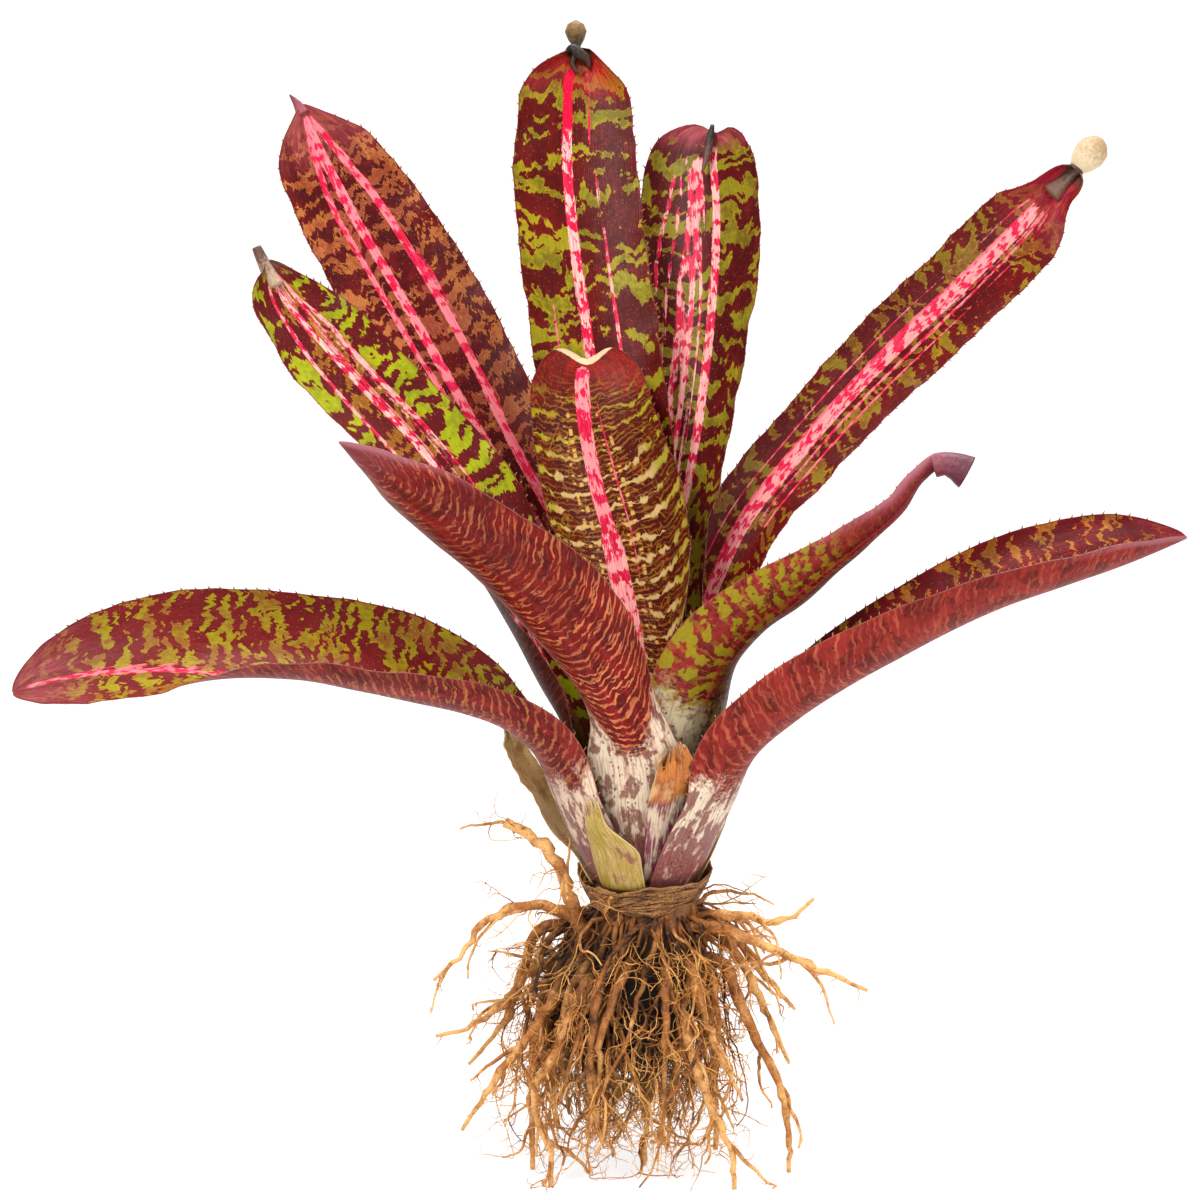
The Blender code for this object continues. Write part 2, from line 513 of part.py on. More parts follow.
def make_rootstock(material, collection):
    """The short woody stem, the dark core of the ball and all the roots, grown as one piece."""
    profile = [(7.0, 58.0), (12.0, 74.0), (16.5, 86.0), (STEM_RADIUS, 94.0), (STEM_RADIUS, STEM_TOP),
               (FIRST_BASE_RADIUS - 0.6, STEM_TOP + (STEM_RADIUS - FIRST_BASE_RADIUS + 0.6) * CROWN_RISE)]
    stem = add_object("rootstock", turned_mesh("rootstock", profile, 16), material, collection)
    scratch = bpy.data.collections.new("roots to join")
    bpy.context.scene.collection.children.link(scratch)
    bm = bmesh.new()
    bmesh.ops.create_icosphere(bm, subdivisions=2, radius=1.0)
    for vertex in bm.verts:
        lump = 1.0 + 0.16 * noise.noise(vertex.co * 1.7 + Vector((3.1, 0.4, 7.2)))
        vertex.co = Vector([(centre + radius * c * lump) * MM
                            for centre, radius, c in zip(BALL_CENTRE, BALL_RADII, vertex.co)])
    core_mesh = bpy.data.meshes.new("core")
    bm.to_mesh(core_mesh)
    bm.free()
    core = bpy.data.objects.new("core", core_mesh)
    scratch.objects.link(core)
    mains = [root_line(keys, 7) for keys in FRONT_ROOTS]
    mains += [root_line(standing_root(*values), 7) for values in STANDING_ROOTS]
    mains += [root_line(side_root(*values), 6) for values in REAR_SIDE_ROOTS]
    for number, points in enumerate(mains):
        root_tube(f"main {number}", points, MAIN_ROOT_RADIUS, True, scratch)
    draw = random.Random(SEED)
    for number in range(BALL_ROOTS):
        root_tube(f"ball {number}", root_line(ball_root(draw, number), 5), BALL_ROOT_RADIUS, False, scratch)
    for number in range(FINE_ROOTS):
        root_tube(f"fine {number}", fine_root(draw, number), FINE_ROOT_RADIUS, False, scratch)
    union = stem.modifiers.new("Union", "BOOLEAN")
    union.operation = "UNION"
    union.operand_type = "COLLECTION"
    union.collection = scratch
    union.solver = "MANIFOLD"
    bpy.context.view_layer.update()
    joined = bpy.data.meshes.new_from_object(stem.evaluated_get(bpy.context.evaluated_depsgraph_get()))
    stem.modifiers.remove(union)
    stem.data = joined
    for piece in list(scratch.objects):
        bpy.data.objects.remove(piece)
    bpy.data.collections.remove(scratch)
    return stem


def main():
    for obj in list(bpy.data.objects):
        bpy.data.objects.remove(obj)
    plant = bpy.data.collections.new("neoregelia")
    bpy.context.scene.collection.children.link(plant)
    blade_green = principled("blade green", (0.36, 0.34, 0.10), 0.35)
    blade_red = principled("blade red", (0.42, 0.10, 0.09), 0.35)
    husk_tan = principled("husk tan", (0.52, 0.36, 0.20), 0.8)
    stub_green = principled("stub green", (0.50, 0.47, 0.16), 0.5)
    collar_brown = principled("collar brown", (0.20, 0.12, 0.06), 0.85)
    root_tan = principled("root tan", (0.33, 0.20, 0.10), 0.85)
    red_backs = ("leaf_front_left", "leaf_right_mid", "leaf_right_low")
    for name, spec in LEAVES.items():
        if name == "leaf_stub":
            material = stub_green
        elif name in DRY_PIECES:
            material = husk_tan
        else:
            material = blade_red if name in red_backs else blade_green
        make_leaf(name, spec, material, plant)
    make_collar(collar_brown, plant)
    make_rootstock(root_tan, plant)


main()
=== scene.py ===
"""Looks of the bare-root neoregelia: fine patterned leaves, dry husks and a dense ball of roots.

Distances in the tables are millimetres in the model's own frame, with +Z up and the front at -Y.
"""
import math
import random

import bpy
import numpy as np
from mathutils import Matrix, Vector


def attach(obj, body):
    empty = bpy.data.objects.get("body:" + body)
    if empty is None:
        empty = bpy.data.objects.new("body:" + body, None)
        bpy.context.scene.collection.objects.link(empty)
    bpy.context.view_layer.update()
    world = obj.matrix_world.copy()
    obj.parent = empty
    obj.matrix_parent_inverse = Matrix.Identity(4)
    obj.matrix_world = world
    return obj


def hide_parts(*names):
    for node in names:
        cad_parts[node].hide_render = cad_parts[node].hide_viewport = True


MM = 0.001
# The stem and the nest of leaf bases round it, in millimetres
STEM_TOP = 101.0
STEM_RADIUS = 17.9
CROWN_RISE = 0.8
FIRST_BASE_RADIUS = 3.0
BASE_PITCH = 1.65
SEAT_GAP = 0.35
BULGE_PER_LAYER = 0.35
BULGE_HEIGHT = 11.0
NEST_SHARES = (0.0, 0.12, 0.3, 0.6, 1.0)
LEAF_THICKNESS = 0.9
UNROLL_LENGTH = 30.0
# The collar of dry fibre and the root ball, in millimetres
COLLAR_RADIUS = 19.0
COLLAR_BOTTOM = 93.5
COLLAR_BEND = 97.0
COLLAR_TOP = 105.5
COLLAR_OPENING = 0.45
COLLAR_TILT = 3.0
BALL_CENTRE = (-8.0, 0.0, 60.0)
BALL_RADII = (26.0, 26.0, 24.0)
BALL_ROOTS = 16
BALL_ROOT_RADIUS = 2.0
MAIN_ROOT_RADIUS = 2.4
SEED = 41
# How many thinner roots leave the stem, the ball's sides and its crown, and the angle from one to the next
DRAPED_ROOTS = 54
BALL_FINE_ROOTS = 150
CROWN_ROOTS = 60
GOLDEN_ANGLE = 2.399963

# Each leaf: the layer its base has in the nest, the azimuth of its midline, the half-angles that it wraps
# at the stem and where the blade leaves the nest, the height of that place, the cone's slope there, the
# length of the rounded tip, and the blade's midrib, as (x, y, z, half width, cup half-angle, facing
# azimuth, roll) in millimetres and degrees.
LEAVES = {
    "leaf_heart": dict(
        layer=0, azimuth=92, wrap=(118, 118), leaves_at=186, slope=0.12, tip=26,
        midrib=[(-4, 16, 201, 27, 84, 92, 0), (-8, 20, 222, 28, 60, 93, 0),
                (-14.5, 25, 246, 27, 50, 94, 0), (-19.5, 30, 267, 23.5, 42, 94, 0),
                (-22, 39, 291, 23, 36, 94, 0)]),
    "leaf_centre_back": dict(
        layer=1, azimuth=100, wrap=(88, 70), leaves_at=188, slope=0.15, tip=3,
        midrib=[(-6, 27, 212, 21.5, 51, 99, 0), (-12.5, 36, 252, 24, 42, 98, 0),
                (-18.5, 48, 291, 24.5, 36, 97, 0), (-23, 61, 326, 24, 32, 96, 0),
                (-25.5, 76, 362, 22.5, 33, 95, 0), (-24.5, 84, 382, 18.5, 42, 95, 0),
                (-23.5, 88, 392.5, 9, 80, 95, 0), (-24, 92, 400, 7.5, 140, 95, 0),
                (-24, 94, 404, 6.5, 140, 95, 0)]),
    "leaf_back_right": dict(
        layer=2, azimuth=77, wrap=(88, 62), leaves_at=184, slope=0.18, tip=9,
        midrib=[(10, 35, 213, 17, 60, 74, 0), (15.5, 46, 241, 18.5, 54, 68, 0),
                (20, 56, 269, 20.5, 46, 64, 0), (24, 69, 304, 24.5, 42, 62, 0),
                (24, 83, 336, 25.5, 38, 62, 0), (23, 92, 355.5, 21.5, 34, 62, 0),
                (25, 97, 368, 13, 34, 62, 0)]),
    "leaf_back_left": dict(
        layer=3, azimuth=120, wrap=(80, 50), leaves_at=180, slope=0.21, tip=12,
        midrib=[(-21, 33, 197, 20, 58, 119, 0), (-34, 42, 218, 22, 50, 117, 0),
                (-49, 48, 241, 24.5, 40, 114, 0), (-65, 58, 267, 26, 34, 112, 0),
                (-82.5, 69, 297, 27.5, 30, 110, 0), (-100.5, 79, 327, 25.5, 28, 108, 0),
                (-113.5, 85, 349, 21.5, 28, 106, 0), (-121, 89, 364, 16, 34, 106, 0),
                (-126, 91, 377, 5, 60, 106, 0)]),
    "leaf_right_upper": dict(
        layer=4, azimuth=58, wrap=(60, 44), leaves_at=174, slope=0.25, tip=4,
        midrib=[(24, 37, 197, 18.5, 58, 57, 8), (36.5, 48, 224, 16, 48, 52, 28),
                (57, 62, 249, 15.5, 40, 48, 44), (76, 74, 269, 16, 36, 46, 52),
                (96, 86, 288, 17, 34, 45, 56), (121, 100, 310, 17, 34, 45, 58),
                (142.5, 112, 330.5, 16, 38, 45, 58), (154, 117, 342.5, 10, 75, 45, 58),
                (164, 120, 351, 14.5, 135, 45, 58), (170, 122, 361, 14, 135, 45, 58)]),
    "leaf_right_mid": dict(
        layer=5, azimuth=316, wrap=(72, 50), leaves_at=166, slope=0.26, tip=4,
        midrib=[(27, -24, 184, 23.5, 62, 321, -8), (36.5, -26, 196, 19.5, 60, 330, -20),
                (48.5, -28, 205.5, 17, 56, 337, -30), (62, -30, 217, 12, 54, 341, -35),
                (75, -31, 227.5, 9, 56, 343, -35), (86.5, -31, 237.5, 6.5, 64, 343, -33),
                (94, -31, 248, 5, 84, 343, -30), (102, -31, 253, 5.5, 112, 343, -28),
                (107, -32, 250, 5, 140, 343, -26)]),
    "leaf_left_upper": dict(
        layer=5, azimuth=165, wrap=(66, 42), leaves_at=156, slope=0.29, tip=4,
        midrib=[(-36, 8, 172, 19, 74, 164, 0), (-44, 6, 189, 18, 70, 159, 0),
                (-52.5, 4, 209.5, 23.5, 58, 147, 0), (-65, 8.5, 232, 26, 46, 130, 0),
                (-83.5, 17, 256.5, 23, 38, 120, 0), (-100.5, 22, 274, 22, 34, 116, 0),
                (-118.5, 27, 294, 19.5, 32, 116, 0), (-129.5, 31, 308.5, 13.5, 38, 120, 0),
                (-133, 34, 317, 7.5, 70, 122, 0), (-138, 36, 326, 5, 130, 122, 0)]),
    "leaf_front_left": dict(
        layer=6, azimuth=262, wrap=(50, 36), leaves_at=148, slope=0.33, tip=12,
        midrib=[(-9, -38.5, 166, 16, 66, 258, 0), (-16, -44, 179, 19.5, 66, 252, 0),
                (-26.5, -51, 194, 24.5, 58, 245, 0), (-42, -60, 211.5, 28.5, 48, 238, 0),
                (-62, -70, 228.7, 28.5, 42, 231, 0), (-80, -79, 245.3, 24, 40, 228, 0),
                (-93.5, -86, 258.5, 11, 48, 226, 0), (-101, -90, 266, 4, 60, 225, 0)]),
    "leaf_rear_mid": dict(
        layer=6, azimuth=126, wrap=(52, 36), leaves_at=150, slope=0.33, tip=30,
        midrib=[(-25, 40, 170, 19, 66, 125, 0), (-33, 60, 194, 20, 52, 121, 0),
                (-41, 86, 212, 20.5, 40, 116, 0), (-49, 114, 221, 20, 36, 112, 0),
                (-57, 142, 221, 16, 36, 110, 0), (-63, 164, 212, 10, 40, 110, 0)]),
    "leaf_rear_low": dict(
        layer=7, azimuth=78, wrap=(48, 34), leaves_at=140, slope=0.37, tip=30,
        midrib=[(9, 42, 156, 19.5, 66, 78, 0), (12, 62, 172, 21, 56, 79, 0),
                (15, 88, 186, 22, 44, 80, 0), (18, 118, 190, 21, 40, 80, 0),
                (21, 148, 184, 16, 40, 80, 0), (24, 172, 171, 9, 40, 80, 0)]),
    "leaf_right_low": dict(
        layer=8, azimuth=332, wrap=(58, 37), leaves_at=137, slope=0.42, tip=20,
        midrib=[(36, -19, 149, 23.5, 74, 333, 0), (52, -24, 164, 29, 80, 338, 2),
                (71.5, -30, 178, 31, 82, 340, 5), (88.5, -34, 188.3, 31, 82, 341, 8),
                (105.5, -38, 198.3, 30.5, 80, 342, 11), (121, -41, 206.3, 29.5, 78, 343, 14),
                (141, -44, 214.2, 27.5, 74, 344, 16), (160.5, -46, 221.3, 23, 70, 345, 16),
                (182.5, -48, 230, 10, 66, 345, 16)]),
    "leaf_left_low": dict(
        layer=8, azimuth=205, wrap=(57, 37), leaves_at=137, slope=0.42, tip=34,
        midrib=[(-38, -17, 151, 21, 72, 203, -2), (-50, -22, 161.5, 25.5, 74, 200, -8),
                (-64, -25, 168, 30, 77, 197, -14), (-81, -29, 173.5, 33, 78, 195, -19),
                (-101, -33, 179.3, 32, 75, 194, -23), (-118, -36, 183.4, 30, 72, 193, -25),
                (-139, -39, 186, 28.5, 68, 192, -30), (-159, -41, 188, 24.5, 53, 192, -43),
                (-179, -42, 185.8, 21, 44, 192, -49), (-200, -42, 181.3, 16.5, 42, 192, -50),
                (-216, -42, 176, 12, 45, 192, -50)]),
    "leaf_stub": dict(
        layer=9, azimuth=246, wrap=(25, 19), leaves_at=118, slope=0.42, tip=0,
        midrib=[(-17, -27.5, 127, 4.6, 18, 239, 0), (-19, -30.5, 137, 2.6, 14, 238, 0)]),
    "dry_sheath_torn": dict(
        layer=7, azimuth=288, wrap=(20, 17), leaves_at=134, slope=0.35, tip=0,
        midrib=[(10.5, -30.3, 143, 8, 22, 289, 0), (10.7, -32, 151, 6, 24, 290, 0),
                (10.5, -33.5, 158, 2.2, 28, 290, 0)]),
    "dry_husk_left": dict(
        layer=9, azimuth=153, wrap=(28, 22), leaves_at=111, slope=0.42, tip=0,
        midrib=[(-30.5, 15, 119, 9, 26, 152, 0), (-36.5, 18, 130, 9, 30, 149, 0),
                (-43.5, 20, 139, 8, 38, 146, 0), (-48, 21, 148, 6, 48, 144, 0),
                (-49.5, 21, 155, 3, 50, 144, 0)]),
    "dry_husk_right": dict(
        layer=9, azimuth=32, wrap=(26, 16), leaves_at=124, slope=0.42, tip=0,
        midrib=[(29.5, 18.5, 133, 7, 20, 33, 0), (33.5, 21, 142, 4, 30, 33, 0)]),
}

# The main roots that show from the front, each from inside the ball to its end, in millimetres
FRONT_ROOTS = [
    [(8, 0, 78), (19, -10, 89.5), (34, -18, 87), (54, -25, 79), (77, -30, 70)],
    [(10, 4, 78), (21, -4, 91), (34, -7, 92), (45, -9, 90), (53, -10, 93), (59, -12, 99)],
    [(-8, 2, 76), (-20, -5, 84), (-26, -9, 98), (-30, -10, 109), (-38, -11, 120), (-49, -12, 126)],
    [(-10, 0, 78), (-20, -4, 85.5), (-30, -7, 94.5), (-44, -10, 96), (-57, -13, 89), (-65, -15, 79),
     (-74, -18, 71)],
    [(-12, 2, 66), (-35, 4, 72), (-51, 4, 57), (-62, 2, 50), (-74, 0, 47)],
    [(-12, -4, 64), (-30, -16, 64), (-44, -20, 47), (-54, -24, 35), (-64, -24, 19)],
    [(-8, -4, 70), (-19, -20, 72), (-30, -26, 50), (-39, -28, 32), (-33, -28, 12), (-33, -28, 0)],
    [(-6, -6, 66), (-16, -24, 60), (-19, -29, 38), (-15, -25, 14)],
    [(0, 0, 60), (3, -3, 38), (0, 0, 16), (0, 0, 0)],
    [(4, -6, 72), (10, -20, 66), (16, -27, 46), (26, -31, 22), (31, -32, 10), (31, -32, 0)],
    [(10, -2, 76), (24, -5, 76), (38, -7, 50), (49, -9, 26), (51, -9, 12), (51, -9, 0)],
    [(8, 4, 78), (25, 6, 82), (41, 10, 58), (52, 14, 34)],
    [(4, -6, 76), (14, -18, 78), (21, -24, 58), (34, -26, 30)],
]

# Roots that stand on the surface at the back and the left: azimuth in degrees and reach in millimetres
STANDING_ROOTS = [(38, 38), (75, 42), (112, 43), (150, 42), (188, 36)]
REAR_SIDE_ROOTS = [(20, 62, 52), (55, 58, 40), (95, 62, 48), (130, 64, 56), (168, 60, 34)]


def unit(vectors):
    """Scale rows of vectors to length one."""
    return vectors / np.linalg.norm(vectors, axis=-1, keepdims=True)


def smooth_step(value):
    """Rise from 0 to 1 with flat ends."""
    value = np.clip(value, 0.0, 1.0)
    return value * value * (3.0 - 2.0 * value)


def smooth_path(keys, knots, samples):
    """Read a cubic curve through the keys, which lie at the knots, at the sample positions."""
    steps = np.diff(knots)[:, None]
    chords = np.diff(keys, axis=0) / steps
    slopes = np.empty_like(keys)
    slopes[0] = chords[0]
    slopes[-1] = chords[-1]
    slopes[1:-1] = (chords[:-1] * steps[1:] + chords[1:] * steps[:-1]) / (steps[1:] + steps[:-1])
    cell = np.clip(np.searchsorted(knots, samples, side="right") - 1, 0, len(knots) - 2)
    step = steps[cell]
    t = (samples - knots[cell])[:, None] / step
    start, end = keys[cell], keys[cell + 1]
    leave, arrive = slopes[cell] * step, slopes[cell + 1] * step
    return (start * (2 * t**3 - 3 * t**2 + 1) + leave * (t**3 - 2 * t**2 + t)
            + end * (3 * t**2 - 2 * t**3) + arrive * (t**3 - t**2))


def base_radius(layer):
    """Radius of a layer of the nest where it leaves the stem."""
    return FIRST_BASE_RADIUS + BASE_PITCH * layer


def crown_height(radius):
    """Height of the stem's pointed top at a radius."""
    return STEM_TOP + max(STEM_RADIUS - radius, 0.0) * CROWN_RISE


def nest_radius(layer, slope, height):
    """Radius of a layer of the nest at a height: a bulge just over the stem, then a cone."""
    rise = height - crown_height(base_radius(layer))
    bulge = BULGE_PER_LAYER * layer * (1.0 - math.exp(-rise / BULGE_HEIGHT))
    return base_radius(layer) + bulge + slope * rise


def leaf_keys(spec):
    """The leaf's midline from its seat on the stem to its tip, as rows of its seven values."""
    seat = crown_height(base_radius(spec["layer"])) + SEAT_GAP + LEAF_THICKNESS / 2
    azimuth = math.radians(spec["azimuth"])
    low_wrap, high_wrap = (math.radians(wrap) for wrap in spec["wrap"])
    span = spec["leaves_at"] - seat
    keys = []
    for share in NEST_SHARES:
        height = seat + span * share
        radius = nest_radius(spec["layer"], spec["slope"], height)
        wrap = low_wrap + (high_wrap - low_wrap) * share
        keys.append((radius * math.cos(azimuth), radius * math.sin(azimuth), height,
                     radius * wrap, wrap, azimuth, 0.0))
    for x, y, z, half_width, cup, facing, roll in spec["midrib"]:
        keys.append((x, y, z, half_width, math.radians(cup), math.radians(facing), math.radians(roll)))
    return np.array(keys), len(NEST_SHARES) - 1


def fine_sections(spec, facets, end=None, tip=None):
    """Points and upper-face normals of the leaf's surface, with its rows, columns, widths and nest length."""
    keys, leave_key = leaf_keys(spec)
    knots = np.concatenate([[0.0], np.cumsum(np.linalg.norm(np.diff(keys[:, :3], axis=0), axis=1))])
    end = knots[-1] if end is None else min(end, knots[-1])
    tip = spec["tip"] if tip is None else tip
    rows = leaf_rows(end, tip)
    values = smooth_path(keys, knots, rows)
    nudge = 0.5
    ahead = smooth_path(keys, knots, np.minimum(rows + nudge, knots[-1]))
    behind = smooth_path(keys, knots, np.maximum(rows - nudge, 0.0))
    along = unit(ahead[:, :3] - behind[:, :3])
    centre, half_width, cup, facing, roll = values[:, :3], values[:, 3], values[:, 4], values[:,
            5], values[:, 6]
    if tip:
        share = np.clip((end - rows) / tip, 0.0, 1.0)
        half_width = half_width * np.sqrt(1.0 - (1.0 - share) ** 2)
    level = np.stack([-np.sin(facing), np.cos(facing), np.zeros_like(facing)], axis=1)
    across = unit(level - along * np.sum(level * along, axis=1, keepdims=True))
    inward = np.cross(along, across)
    turn_cos, turn_sin = np.cos(roll)[:, None], np.sin(roll)[:, None]
    across, inward = across * turn_cos + inward * turn_sin, inward * turn_cos - across * turn_sin
    flat_inward = np.stack([-np.cos(facing), -np.sin(facing), np.zeros_like(facing)], axis=1)
    unrolled = smooth_step((rows - knots[leave_key]) / UNROLL_LENGTH)[:, None]
    across = unit(level * (1.0 - unrolled) + across * unrolled)
    inward = unit(flat_inward * (1.0 - unrolled) + inward * unrolled)
    columns = np.linspace(-1.0, 1.0, facets + 1)
    bend = half_width / cup
    angles = cup[:, None] * columns[None, :]
    points = (centre[:, None, :]
              + across[:, None, :] * (bend[:, None] * np.sin(angles))[:, :, None]
              + inward[:, None, :] * (bend[:, None] * (1.0 - np.cos(angles)))[:, :, None])
    row_way = np.gradient(points, axis=0)
    column_way = np.gradient(points, axis=1)
    normals = unit(np.cross(row_way, column_way) + 1e-12)
    facing_in = np.sum(normals * inward[:, None, :], axis=2).mean()
    return points, normals * np.sign(facing_in), rows, columns, half_width, knots[leave_key]


ROW_STEP = 2.0
COLUMNS = 30
# Facets across a dry piece
DRY_COLUMNS = 16
UV_NAME = "leaf_mm"
# The place of the dead tip on a leaf that has none: beyond every leaf's end
NEVER = 999
# The materials of a leaf, in the order of its material slots
UPPER, UNDER, MARGIN = range(3)

